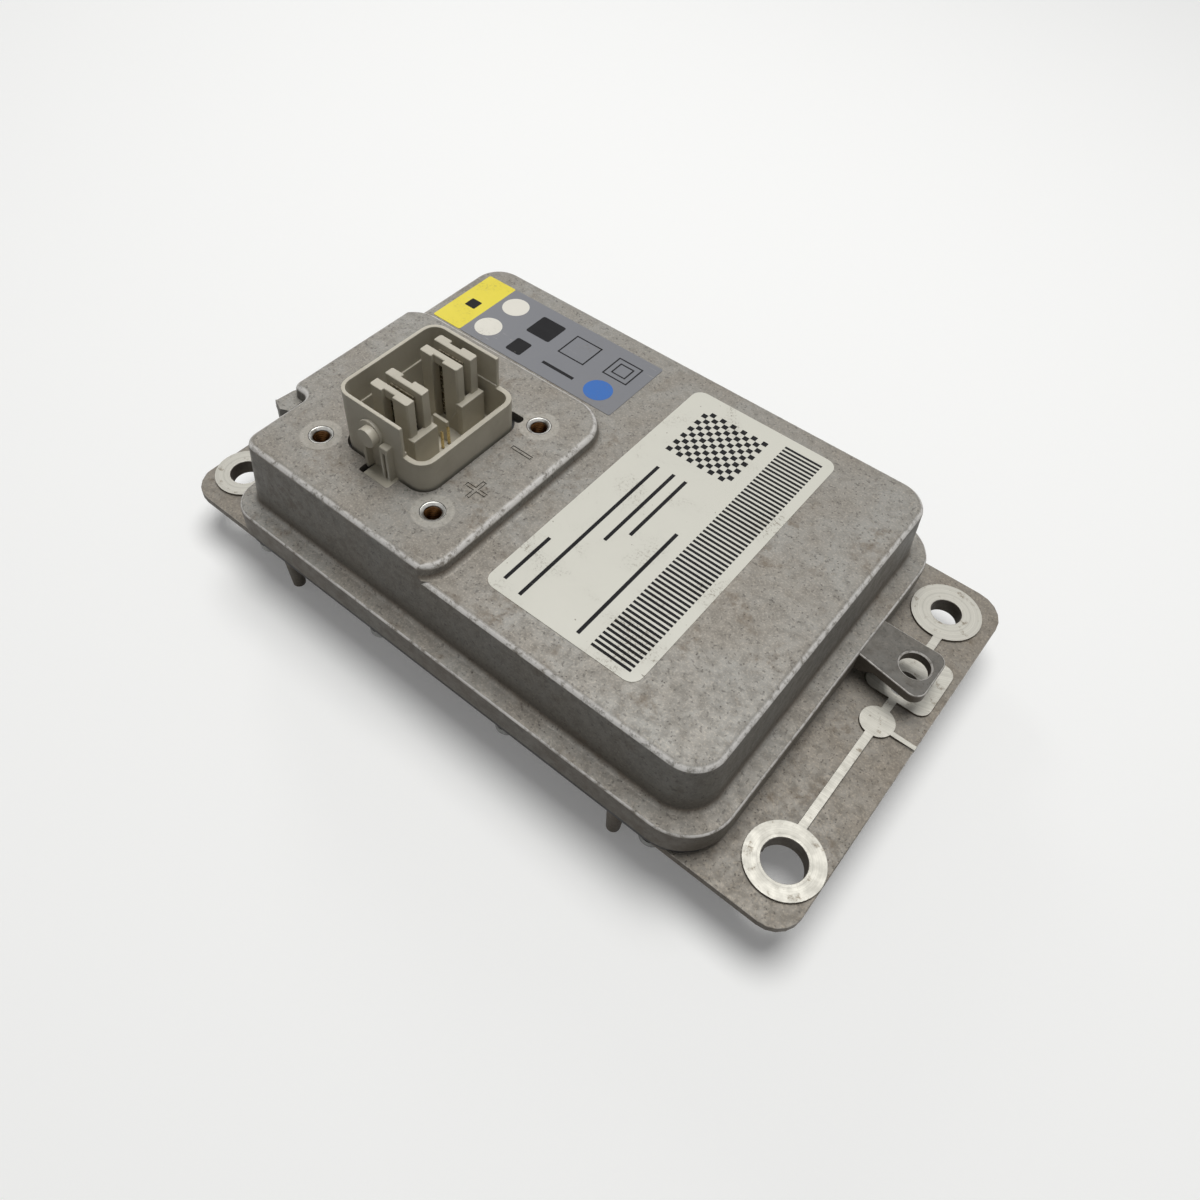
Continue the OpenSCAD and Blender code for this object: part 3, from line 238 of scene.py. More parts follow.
def stepped_ring(xs, ys, step, radii):
    """Outline of a box whose front left corner is set back to the step; radii go round from the front."""
    corners = [(step[0], ys[0]), (xs[1], ys[0]), (xs[1], ys[1]), (xs[0], ys[1]), (xs[0], step[1]), step]
    return rounded([(x, y, r) for (x, y), r in zip(corners, radii)])


def cover_ring(g):
    radii = (grown(NOTCH_R, g), *[grown(CORNER_R, g)] * 3, *step_radii(STEP_R, g))
    return stepped_ring((X0 - g, X1 + g), (Y0 - g, Y1 + g), (FRONT_X0 - g, STEP_Y - g), radii)


def platform_ring(g, s):
    """Outline of the platform, grown by g along the cover's walls and by s at its own slopes."""
    front = (grown(NOTCH_R, g), grown(PLATFORM_R - FRONT_LESS, g))
    back = (grown(PLATFORM_R, s), grown(CORNER_R, g))
    radii = front + back + step_radii(STEP_R, g)
    return stepped_ring((X0 - g, PLATFORM_X1 + s), (Y0 - g, PLATFORM_Y1 + s), (FRONT_X0 - g, STEP_Y - g), radii)


def flange_ring(g):
    step = (FRONT_X0 - FOOT - FLANGE_NARROW - g, STEP_Y - FOOT - FLANGE_NARROW - g)
    radii = (grown(FLANGE_R - FRONT_LESS, g), *[grown(FLANGE_R, g)] * 3, *step_radii(STEP_R + FOOT, g))
    return stepped_ring((FLANGE_X0 - g, FLANGE_X1 + g), (FLANGE_Y0 - g, FLANGE_Y1 + g), step, radii)


def wall_growth(z):
    """How far the drafted wall stands outside the cover's top at height z."""
    return (Z_TOP - z) * math.tan(DRAFT)


def edge_curve(r, z, steps=8):
    """A convex edge of radius r that ends at height z, as (growth, height)."""
    turns = [math.pi / 2 * i / steps for i in range(steps + 1)]
    return [(-r * (1 - math.cos(turn)), z - r + r * math.sin(turn)) for turn in turns]


def root_curve(r, z, steps=6):
    """A concave root of radius r that starts at height z, as (growth, height)."""
    turns = [math.pi / 2 * i / steps for i in range(steps + 1)]
    return [(r * (1 - math.sin(turn)), z + r * (1 - math.cos(turn))) for turn in turns]


# Solids
def point(x, y, z):
    """A place in the part's millimetres as a place in the scene."""
    return ((x - MID[0]) * MM, (y - MID[1]) * MM, z * MM)


def new_object(name, verts, faces):
    mesh = bpy.data.meshes.new(name)
    mesh.from_pydata([point(*vert) for vert in verts], [], faces)
    mesh.update()
    piece = bpy.data.objects.new(name, mesh)
    bpy.context.scene.collection.objects.link(piece)
    return piece


def stack_faces(first, sides, rings):
    """Faces of a closed stack of rings with as many points each, counted from the first point."""
    last = first + (rings - 1) * sides
    faces = [[first + i for i in range(sides)][::-1], [last + i for i in range(sides)]]
    for low in range(first, last, sides):
        for i in range(sides):
            j = (i + 1) % sides
            faces.append([low + i, low + j, low + sides + j, low + sides + i])
    return faces


def loft(name, rings, heights):
    """Solid through a stack of outlines with as many points each."""
    verts = [(x, y, z) for ring, z in zip(rings, heights) for x, y in ring]
    return new_object(name, verts, stack_faces(0, len(rings[0]), len(rings)))


def profile_loft(name, outline_of, profile):
    """Solid whose outline_of(growth) follows a profile of (growth, height)."""
    return loft(name, [outline_of(g) for g, z in profile], [z for g, z in profile])


def slab(name, outline, z, h):
    return loft(name, [outline, outline], [z, z + h])


def soft_slab(name, outline_of, z, h, r, steps):
    """Slab whose top edge is rounded; outline_of(growth) gives its outline."""
    return profile_loft(name, outline_of, [(0, z)] + edge_curve(r, z + h, steps))


def rod(name, centre, z, h, d):
    return slab(name, circle(centre, d), z, h)


def block(name, xa, xb, ya, yb, za, zb):
    return slab(name, [(xa, ya), (xb, ya), (xb, yb), (xa, yb)], za, zb - za)


def upright_prism(name, profile, low, high):
    """Prism whose profile of (x, z) points stands upright and is swept along Y."""
    verts = [(x, y, z) for y in (high, low) for x, z in profile]
    return new_object(name, verts, stack_faces(0, len(profile), 2))


def combine(piece, tools, operation):
    """Joins the tools to the piece, or cuts them from it, and deletes them."""
    for tool in tools:
        step = piece.modifiers.new("step", "BOOLEAN")
        step.operation, step.object, step.solver = operation, tool, "EXACT"
        shape = bpy.data.meshes.new_from_object(piece.evaluated_get(bpy.context.evaluated_depsgraph_get()))
        piece.modifiers.clear()
        piece.data = shape
        bpy.data.objects.remove(tool)
    return piece


def join(piece, *tools):
    return combine(piece, tools, "UNION")


def cut(piece, *tools):
    return combine(piece, tools, "DIFFERENCE")


def smooth(piece, angle=30):
    """Smooth shading with sharp edges above the angle, and flat faces kept flat."""
    mesh = piece.data
    mesh.validate()
    mesh.shade_smooth()
    mesh.set_sharp_from_angle(angle=math.radians(angle))
    normals = piece.modifiers.new("normals", "WEIGHTED_NORMAL")
    normals.keep_sharp, normals.weight = True, 100
    return piece


def dress(piece, slot, *replaced, look=None):
    """Puts a finished piece on the part, in the look of its slot or in one of its own."""
    piece.data.materials.clear()
    piece.data.materials.append(MATERIALS[look or slot])
    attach(piece, "root")
    if replaced:
        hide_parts(*replaced)


# Materials
def colour(rgb):
    """Linear colour from sRGB parts of 255."""
    parts = [c / 255 for c in rgb]
    return tuple(p / 12.92 if p <= 0.04045 else ((p + 0.055) / 1.055) ** 2.4 for p in parts) + (1.0,)


def shade(rgb, k):
    return tuple(min(255, c * k) for c in rgb)


class Nodes:
    """Short names for building one material's nodes."""

    def __init__(self, name):
        self.material = bpy.data.materials.new(name)
        self.material.use_nodes = True
        self.tree = self.material.node_tree
        self.shader = self.tree.nodes["Principled BSDF"]
        self.place = self.node("ShaderNodeTexCoord").outputs["Object"]

    def node(self, kind, **values):
        made = self.tree.nodes.new(kind)
        for key, value in values.items():
            setattr(made, key, value)
        return made

    def link(self, output, socket):
        self.tree.links.new(output, socket)

    def fill(self, socket, value):
        """Gives a socket another node's output, a colour or a number."""
        if hasattr(value, "links"):
            self.link(value, socket)
        else:
            socket.default_value = colour(value) if isinstance(value, tuple) else value

    def noise(self, scale, detail=4.0, rough=0.55, place=None, distortion=0.0):
        made = self.node("ShaderNodeTexNoise")
        self.link(place or self.place, made.inputs["Vector"])
        made.inputs["Scale"].default_value = scale
        made.inputs["Detail"].default_value = detail
        made.inputs["Roughness"].default_value = rough
        made.inputs["Distortion"].default_value = distortion
        return made.outputs["Fac"]

    def cells(self, scale):
        made = self.node("ShaderNodeTexVoronoi")
        self.link(self.place, made.inputs["Vector"])
        made.inputs["Scale"].default_value = scale
        return made.outputs["Distance"]

    def band(self, value, low, high, to_low, to_high):
        """Goes softly from to_low to to_high while the value goes from low to high."""
        made = self.node("ShaderNodeMapRange", interpolation_type="SMOOTHSTEP")
        self.fill(made.inputs["Value"], value)
        for key, number in (("From Min", low), ("From Max", high), ("To Min", to_low), ("To Max", to_high)):
            made.inputs[key].default_value = number
        return made.outputs["Result"]

    def rise(self, value, low, high, most=1.0):
        return self.band(value, low, high, 0.0, most)

    def fall(self, value, low, high, most=1.0):
        return self.band(value, low, high, most, 0.0)

    def math(self, operation, a, b):
        made = self.node("ShaderNodeMath", operation=operation)
        self.fill(made.inputs[0], a)
        self.fill(made.inputs[1], b)
        return made.outputs["Value"]

    def times(self, a, b):
        return self.math("MULTIPLY", a, b)

    def plus(self, a, b):
        return self.math("ADD", a, b)

    def minus(self, a, b):
        return self.math("SUBTRACT", a, b)

    def mix(self, factor, a, b):
        made = self.node("ShaderNodeMix", data_type="RGBA")
        for key, value in (("Factor", factor), ("A", a), ("B", b)):
            self.fill(made.inputs[key], value)
        return made.outputs["Result"]

    def mix_normals(self, factor, a, b):
        made = self.node("ShaderNodeMix", data_type="VECTOR")
        for key, value in (("Factor", factor), ("A", a), ("B", b)):
            self.link(value, [socket for socket in made.inputs if socket.name == key and socket.enabled][0])
        return [socket for socket in made.outputs if socket.enabled][0]

    def split(self, vector):
        made = self.node("ShaderNodeSeparateXYZ")
        self.link(vector, made.inputs["Vector"])
        return made.outputs

    def bump(self, height, distance, strength=1.0):
        """Normal of a bumpy surface, with the distance in millimetres."""
        made = self.node("ShaderNodeBump")
        self.link(height, made.inputs["Height"])
        made.inputs["Distance"].default_value = distance * MM
        made.inputs["Strength"].default_value = strength
        return made.outputs["Normal"]

    def finish(self, base, rough, metallic=0.0, normal=None):
        self.fill(self.shader.inputs["Base Color"], base)
        self.fill(self.shader.inputs["Roughness"], rough)
        self.fill(self.shader.inputs["Metallic"], metallic)
        if normal is not None:
            self.link(normal, self.shader.inputs["Normal"])
        return self.material


class CastNodes(Nodes):
    """Nodes of a casting, with the height, the slope, the clouds, the pores and the roots that its layers
    share."""

    def __init__(self, name):
        super().__init__(name)
        self.z = self.split(self.place)["Z"]
        self.up = self.split(self.node("ShaderNodeNewGeometry").outputs["Normal"])["Z"]
        self.cloud = self.noise(48, 4, 0.6, distortion=0.3)
        self.mottle = self.noise(360, 4, 0.6)
        self.grain = self.noise(1500, 3, 0.65)
        self.pores = self.times(self.fall(self.cells(820), 0.1, 0.24),
                                self.rise(self.noise(190, 3), 0.48, 0.6))
        self.roots = self.plus(self.layer(Z_TOP, Z_TOP + ROOT_R, SOFT),
                               self.layer(Z_FLANGE, Z_FLANGE + ROOT_R, SOFT))

    def layer(self, low, high, soft):
        """1 between two heights in millimetres, falling to 0 over soft on both sides."""
        return self.times(self.rise(self.z, (low - soft) * MM, low * MM),
                          self.fall(self.z, high * MM, (high + soft) * MM))

    def nearest(self, centres, z):
        """Distance to the nearest of some centres at height z."""
        least = None
        for centre in centres:
            made = self.node("ShaderNodeVectorMath", operation="DISTANCE")
            self.link(self.place, made.inputs[0])
            made.inputs[1].default_value = point(*centre, z)
            distance = made.outputs["Value"]
            least = distance if least is None else self.math("MINIMUM", least, distance)
        return least


def cast_skin(nodes, tint):
    """Blasted skin: two clouds of the tint, mottled, with bright grain, dark flecks, stains and pores."""
    bluish = tuple(c + k for c, k in zip(tint, CLOUD_SHIFT))
    base = nodes.mix(nodes.rise(nodes.cloud, 0.3, 0.7), shade(tint, 0.95), bluish)
    base = nodes.mix(nodes.rise(nodes.mottle, 0.42, 0.72, 0.4), base, shade(tint, 0.8))
    base = nodes.mix(nodes.rise(nodes.grain, 0.46, 0.7, 0.45), base, shade(tint, 1.3))
    base = nodes.mix(nodes.rise(nodes.noise(900, 2, 0.5), 0.6, 0.7, 0.65), base, shade(tint, 0.6))
    patch = nodes.rise(nodes.noise(70, 6, 0.68, distortion=0.5), 0.52, 0.7)
    stain = nodes.times(patch, nodes.rise(nodes.mottle, 0.4, 0.6))
    base = nodes.mix(nodes.times(stain, 0.5), base, STAIN)
    return nodes.mix(nodes.times(nodes.pores, 0.7), base, PORE)


def cast_wear_and_highlight(nodes, base):
    """Bright rubbed edges on the slanted faces apart from the roots: partly real wear, partly a painted
    highlight where those faces catch the light.
    """
    slanted = nodes.times(nodes.rise(nodes.up, 0.25, 0.5), nodes.fall(nodes.up, 0.8, 0.97))
    edges = nodes.times(slanted, nodes.minus(1.0, nodes.roots))
    # Painted highlight, partly real wear: slanted edge faces lightened in broken patches
    rub_and_highlight = nodes.times(edges, nodes.rise(nodes.noise(420, 6, 0.75), 0.34, 0.54))
    return nodes.mix(nodes.times(rub_and_highlight, 0.9), base, WORN_AND_HIGHLIGHT)


def cast_darkening(nodes, base, tint):
    """Painted shade: darker upright faces, and walls darker towards their foot above the flange. Also darker
    roots and a darker top of the earth tab.
    """
    # Painted shade: upright faces darkened, as walls turned away from the light look; faces turned down
    # darkened less
    upright = nodes.times(nodes.fall(nodes.up, 0.0, 0.4, 0.62), nodes.band(nodes.up, -0.7, -0.3, 0.2, 1.0))
    base = nodes.mix(upright, base, shade(tint, 0.5))
    # Painted shade: the walls darker towards their foot just above the flange; the roots get the same dark
    # brown
    low = nodes.fall(nodes.z, (Z_FLANGE + WALL_SHADE_LOW) * MM, (Z_FLANGE + WALL_SHADE_HIGH) * MM, 0.5)
    soil = nodes.math("MAXIMUM", nodes.times(low, nodes.rise(nodes.cloud, 0.3, 0.6)),
                      nodes.times(nodes.roots, nodes.rise(nodes.up, 0.12, 0.35, 0.55)))
    base = nodes.mix(nodes.times(soil, nodes.fall(nodes.up, 0.4, 0.97)), base, FOOT_DARK)
    tab_top = nodes.layer(Z_TAB - TAB_SKIN, Z_TAB + TAB_SKIN, SOFT)
    dark_tab_top = nodes.times(tab_top, nodes.rise(nodes.up, 0.9, 0.97))
    dark_tab_top = nodes.times(dark_tab_top, nodes.band(nodes.cloud, 0.2, 0.6, 0.5, 0.75))
    return nodes.mix(dark_tab_top, base, shade(tint, 0.5))


def cast_metal(name, tint, faced, centres, face_z, face_r, face_tints):
    """Blasted die-cast aluminium, with faces machined round the centres at face_z, as clearly as faced."""
    nodes = CastNodes(name)
    base = cast_darkening(nodes, cast_wear_and_highlight(nodes, cast_skin(nodes, tint)), tint)

    radius = nodes.nearest(centres, face_z)
    ring = nodes.node("ShaderNodeCombineXYZ")
    nodes.link(radius, ring.inputs["X"])
    turned = nodes.noise(4200, 3, 0.7, ring.outputs["Vector"])
    wide = nodes.noise(800, 3, 0.6, ring.outputs["Vector"])
    spots = nodes.noise(330, 6, 0.72)
    bright = nodes.mix(nodes.rise(turned, 0.3, 0.7), *face_tints)
    bright = nodes.mix(nodes.rise(wide, 0.4, 0.7, 0.4), bright, shade(face_tints[0], 0.86))
    bright = nodes.mix(nodes.rise(spots, 0.56, 0.68, 0.75), bright, FACE_SPOT)
    level = nodes.layer(face_z - FACE_BELOW, face_z + FACE_ABOVE, FACE_SOFT)
    mask = nodes.times(nodes.rise(nodes.up, 0.9, 0.97), level)
    mask = nodes.times(mask, nodes.fall(radius, face_r * MM, (face_r + FACE_FADE) * MM, faced))
    base = nodes.mix(mask, base, bright)

    lumps = nodes.plus(nodes.times(nodes.grain, 0.5), nodes.times(nodes.mottle, 0.7))
    cast = nodes.bump(nodes.minus(lumps, nodes.times(nodes.pores, 0.7)), 0.07, 0.85)
    machined = nodes.bump(nodes.plus(turned, nodes.times(spots, 0.4)), 0.03)
    rough = nodes.minus(nodes.band(nodes.mottle, 0.3, 0.7, 0.5, 0.66), nodes.times(mask, 0.08))
    metallic = nodes.plus(0.32, nodes.times(mask, 0.15))
    return nodes.finish(base, rough, metallic, nodes.mix_normals(mask, cast, machined))


def plastic(name, tint, dark, rough=0.5, grain=1500, soil=0.35):
    """Moulded plastic with a fine texture and some dirt in patches."""
    nodes = Nodes(name)
    fine, cloud = nodes.noise(grain, 3, 0.6), nodes.noise(60, 5, 0.6, distortion=0.5)
    base = nodes.mix(nodes.rise(cloud, 0.45, 0.75, soil), tint, dark)
    base = nodes.mix(nodes.rise(nodes.noise(700, 5, 0.7), 0.6, 0.72, soil), base, dark)
    gloss = nodes.band(cloud, 0.3, 0.7, rough - 0.06, rough + 0.08)
    return nodes.finish(base, gloss, 0.0, nodes.bump(fine, 0.03, 0.6))


def metal(name, tint, rough, bore_shade=None, metallic=1.0):
    """Plain drawn or plated metal with faint streaks, and for the inserts a dark brown painted shade deep
    inside their bores.
    """
    nodes = Nodes(name)
    streak = nodes.noise(900, 4, 0.65)
    base = nodes.mix(nodes.rise(streak, 0.35, 0.7), shade(tint, 0.86), tint)
    if bore_shade:
        z = nodes.split(nodes.place)["Z"]
        # Painted shade: dark brown deep in the inserts' bores
        base = nodes.mix(nodes.fall(z, (Z_PLATFORM - DARK_TO) * MM, (Z_PLATFORM - DARK_FROM) * MM), base, bore_shade)
    gloss = nodes.band(streak, 0.3, 0.7, rough - 0.08, rough + 0.08)
    return nodes.finish(base, gloss, metallic, nodes.bump(streak, 0.01, 0.5))


def film(name, tint, soil=0.6, rough=0.4, specular=0.5):
    """Label film, or print on it, with specks of grime in clusters, smears and fine scratches."""
    nodes = Nodes(name)
    cloud, speck = nodes.noise(42, 5, 0.6, distortion=0.5), nodes.noise(1100, 5, 0.75)
    base = nodes.mix(nodes.rise(cloud, 0.35, 0.75, 0.25), tint, shade(tint, 0.88))
    grime = nodes.times(nodes.rise(cloud, 0.5, 0.66), nodes.rise(speck, 0.5, 0.62))
    base = nodes.mix(nodes.times(grime, soil), base, GRIME)
    base = nodes.mix(nodes.rise(nodes.noise(480, 3, 0.6), 0.7, 0.76, soil), base, SMEAR)
    stretch = nodes.node("ShaderNodeMapping")
    nodes.link(nodes.place, stretch.inputs["Vector"])
    stretch.inputs["Rotation"].default_value = (0, 0, 0.5)
    stretch.inputs["Scale"].default_value = (1, 14, 1)
    scratch = nodes.times(nodes.rise(nodes.noise(150, 3, 0.6, stretch.outputs["Vector"]), 0.66, 0.7),
                          nodes.rise(nodes.noise(30, 2), 0.5, 0.6))
    base = nodes.mix(nodes.times(scratch, 0.5), base, SCRATCH)
    nodes.shader.inputs["Specular IOR Level"].default_value = specular
    gloss = nodes.band(cloud, 0.3, 0.7, rough - 0.05, rough + 0.1)
    return nodes.finish(base, gloss, 0.0, nodes.bump(speck, 0.02, 0.3))


PLASTICS = {
    "seal_rubber": dict(tint=(30, 29, 28), dark=(70, 62, 52), rough=0.6, grain=900, soil=0.3),
    "pad_rubber": dict(tint=(168, 180, 188), dark=(140, 150, 158), rough=0.6),
    "natural_plastic": dict(tint=(216, 213, 202), dark=(190, 186, 172)),
    "black_plastic": dict(tint=(44, 46, 48), dark=(70, 70, 70)),
    "board_green": dict(tint=(24, 84, 52), dark=(16, 60, 38), rough=0.35),
    "chip_black": dict(tint=(34, 35, 36), dark=(52, 52, 52), rough=0.45),
    "capacitor_sleeve": dict(tint=(54, 66, 92), dark=(34, 42, 60), rough=0.3),
    "header_plastic": dict(tint=(188, 182, 166), dark=(140, 131, 114), rough=0.48, grain=1400, soil=0.3),
}
METALS = {
    "cell_can": dict(tint=(188, 190, 193), rough=0.38),
    "copper": dict(tint=(196, 120, 78), rough=0.34),
    "shunt_alloy": dict(tint=(164, 120, 92), rough=0.4),
    "screw_steel": dict(tint=(132, 132, 130), rough=0.4),
    "contact_metal": dict(tint=(190, 180, 160), rough=0.26, metallic=0.7),
    "pin_gold": dict(tint=(208, 186, 132), rough=0.3),
    "insert_steel": dict(tint=(186, 184, 178), rough=0.36, bore_shade=(88, 60, 34)),
}
FILMS = {
    "label_white": dict(tint=(212, 210, 198), soil=0.8),
    "label_grey": dict(tint=(118, 119, 123), soil=0.4),
    "label_yellow": dict(tint=(232, 214, 52), soil=0.4),
    "print_dark": dict(tint=(12, 11, 13), soil=0.1, rough=0.7, specular=0.2),
    "print_pale": dict(tint=(226, 222, 210)),
    "print_blue": dict(tint=(28, 98, 176), soil=0.4),
}
CASTINGS = {
    "cover_metal": dict(tint=(134, 128, 118), faced=0.38, centres=INSERTS, face_z=Z_PLATFORM, face_r=CIRCLE_R,
                        face_tints=((160, 156, 146), (186, 182, 172))),
    "base_metal": dict(tint=(126, 118, 106), faced=1.0, centres=BOLT_RINGS, face_z=Z_FACE,
                       face_r=WHOLE_BASE_R, face_tints=((168, 165, 155), (194, 191, 181))),
}
MATERIALS = {}
for recipe, looks in ((plastic, PLASTICS), (metal, METALS), (film, FILMS), (cast_metal, CASTINGS)):
    for look, values in looks.items():
        MATERIALS[look] = recipe(look + "_look", **values)


def dress_cad_nodes():
    """Every node of the frame gets the look of its material slot."""
    slots = {part["node"]: part["material_slot"] for part in frame["record"]["subparts"]}
    for node, piece in frame["nodes"].items():
        for place in piece.material_slots:
            place.material = MATERIALS[slots[node]]


# Cover
def cover_body():
    """Drafted block with the platform, cut back to the cover's top outside it."""
    profile = root_curve(ROOT_R, Z_FLANGE) + edge_curve(EDGE_R, Z_PLATFORM)
    foot = [(FOOT + ROOT_R, Z_FLANGE - 2 * PAST)]
    body = profile_loft("cover", cover_ring, foot + [(g + wall_growth(z), z) for g, z in profile])
    start, clear = Z_TOP - EDGE_R - 2 * PAST, 3 * EPS
    profile = [(0, start)] + edge_curve(EDGE_R, Z_TOP)
    low_top = profile_loft("low_top", cover_ring, [(g + wall_growth(z) + clear, z) for g, z in profile])
    slope = root_curve(ROOT_R, Z_TOP - EPS) + edge_curve(EDGE_R, Z_PLATFORM + EPS)
    profile = [(ROOT_R, start)] + [(g - (z - Z_TOP) * math.tan(SLOPE), z) for g, z in slope]
    profile.append((profile[-1][0], Z_PLATFORM + 2 * PAST))
    high_top = profile_loft("high_top", lambda s: platform_ring(PAST, s), profile)
    waste = block("waste", X0 - WASTE_PAST, X1 + WASTE_PAST, Y0 - WASTE_PAST, Y1 + WASTE_PAST,
                  Z_TOP - EDGE_R - WASTE_LAP, Z_PLATFORM + PAST)
    return cut(body, cut(waste, low_top, high_top))


def cover_rooms():
    """Tools for the room inside the cover, and for the one inside the platform."""
    ceiling = [(g + wall_growth(z) - WALL_T, z) for g, z in edge_curve(EDGE_R, Z_TOP - WALL_T, 3)]
    profile = [(FOOT - WALL_T, Z_SEAL - PAST), (FOOT - WALL_T, Z_FLANGE)] + ceiling
    inset = WALL_T + UPPER_ROOM_IN
    outline = box_outline(FRONT_X0 + inset, PLATFORM_X1 - inset, Y0 + inset, PLATFORM_Y1 - inset, CORNER_R)
    upper = slab("upper", outline, Z_TOP - WALL_T - 3 * PAST, Z_CEILING - Z_TOP + WALL_T + 3 * PAST)
    return [profile_loft("room", cover_ring, profile), upper]


def header_opening():
    """Tools for the header's opening, the notch of its key and a gap at the back right corner."""
    hx, hy = HEADER
    half_l, half_w = HEADER_L / 2 + HEADER_GAP, HEADER_W / 2 + HEADER_GAP
    gx, gy = hx + half_l - GAP_IN, hy + half_w
    opening = box_outline(hx - half_l, hx + half_l, hy - half_w, hy + half_w, HEADER_R + HEADER_GAP)
    key = box_outline(hx + KEY[0], hx + KEY[1], hy - half_w - KEY[2], hy - half_w + 2 * PAST, KEY_R, 5)
    gap = box_outline(gx - GAP[0] / 2, gx + GAP[0] / 2, gy - GAP[1] / 2, gy + GAP[1] / 2, GAP_R, 6)
    outlines = (("opening", opening), ("key", key), ("gap", gap))
    return [slab(name, outline, Z_CEILING - PAST, WALL_T + 2 * PAST) for name, outline in outlines]


def cross_outline(l, w, arms):
    """Outline of a plus sign, or of a minus sign with one pair of arms."""
    l, w = l / 2, w / 2
    if arms == 1:
        return [(-l, -w), (l, -w), (l, w), (-l, w)]
    return [(-l, -w), (-w, -w), (-w, -l), (w, -l), (w, -w), (l, -w),
            (l, w), (w, w), (w, l), (-w, l), (-w, w), (-l, w)]


def mark_outline(y, arms, inset):
    """Outline of one sign beside the header, inset from its edge."""
    outline = cross_outline(MARK_L - 2 * inset, MARK_W - 2 * inset, arms)
    return [(HEADER[0] + MARK_X + px, HEADER[1] + y + py) for px, py in outline]


def pole_marks():
    """Tools for the engraved outlines of a plus and a minus sign."""
    marks = []
    for y, arms in zip(MARK_YS, (2, 1)):
        mark = slab("mark", mark_outline(y, arms, 0), Z_PLATFORM - MARK_DEPTH, PAST)
        marks.append(cut(mark, slab("core", mark_outline(y, arms, MARK_LINE), Z_PLATFORM - PAST, 3 * PAST)))
    return marks


def tab_outline(g):
    """Outline of the earth tab, flared at its front corner, and grown by g outside the flange."""
    root, tip, front, back = FLANGE_X1 - TAB_IN, FLANGE_X1 + TAB_L, TAB_Y - TAB_FRONT, TAB_Y + TAB_BACK
    return rounded([(root, front - g, TAB_ROOT_R), (tip + g, front - TAB_FLARE - g, TAB_R + g),
                    (tip + g, back + g, TAB_R + g), (root, back + g, TAB_ROOT_R)])


def earth_tab():
    """The tab's plate, and the two gussets that carry it."""
    start, foot, end = FLANGE_X1 - GUSSET_LAP, FLANGE_X1 + GUSSET_FOOT, TAB_HOLE[0] - GUSSET_SHORT
    low, high = Z_SEAL + GUSSET_LAP, Z_TAB - GUSSET_LAP
    side = [(start, low), (foot, low), (end, Z_TAB - TAB_T), (end, high), (start, high)]
    plate = soft_slab("tab", tab_outline, Z_TAB - TAB_T, TAB_T, TAB_EDGE_R, 4)
    ys = (TAB_Y - TAB_FRONT, TAB_Y + TAB_BACK - GUSSET_T)
    return [plate] + [upright_prism("gusset", side, y, y + GUSSET_T) for y in ys]


def tab_hole():
    """Tools for the tab's hole and the chamfer at its top."""
    bore = rod("tab_bore", TAB_HOLE, Z_SEAL - PAST, FLANGE_T + 2 * PAST, TAB_HOLE_D)
    low_d, high_d = TAB_HOLE_D + SLIP, TAB_HOLE_D + SLIP + 2 * (TAB_CHAMFER + SLIP)
    rings = [circle(TAB_HOLE, low_d), circle(TAB_HOLE, high_d)]
    return [bore, loft("chamfer", rings, [Z_TAB - TAB_CHAMFER, Z_TAB + SLIP])]


def gate_stub():
    """Rough rest of the gate through which the metal was cast, bitten off at its top."""
    x, y = X0 - GATE_OUT, STEP_Y - GATE_FRONT
    outline = rounded([(x + px, y + py, r) for px, py, r in GATE_OUTLINE], 4)
    chance = random.Random(GATE_SEED)
    rings, last = [], GATE_RINGS - 1
    for k in range(GATE_RINGS):
        bite = GATE_BITE if k == last else GATE_GRAIN
        rings.append([(px + chance.uniform(0, bite), py + chance.uniform(0, bite)) for px, py in outline])
    return loft("gate", rings, [Z_TOP - GATE_H + GATE_H * k / last for k in range(GATE_RINGS)])


def boss(place):
    """Solid round one insert, under the ceiling of the platform."""
    low = Z_PLATFORM - INSERT_L - BOSS_FLOOR
    return rod("boss", place, low, INSERT_L - WALL_T + 2 * PAST, INSERT_D + 2 * BOSS_WALL)


def cover():
    """Cover casting, with its flange, earth tab, gate, rooms, bosses, openings, signs and bores."""
    body = cover_body()
    flange = soft_slab("flange", flange_ring, Z_SEAL, FLANGE_T, FLANGE_EDGE_R, 5)
    join(body, flange, *earth_tab(), gate_stub())
    cut(body, *cover_rooms())
    join(body, *[boss(place) for place in INSERTS])
    cut(body, *header_opening(), *pole_marks())
    cut(body, *[rod("bore", place, Z_PLATFORM - INSERT_L, INSERT_L + PAST, INSERT_D) for place in INSERTS])
    cut(body, *tab_hole())
    dress(smooth(body), "cover_metal", "cover_casting")


# Pieces made from the shapes of the frame's nodes
def copy_of(node, name):
    piece = bpy.data.objects.new(name, frame["nodes"][node].data.copy())
    bpy.context.scene.collection.objects.link(piece)
    return piece


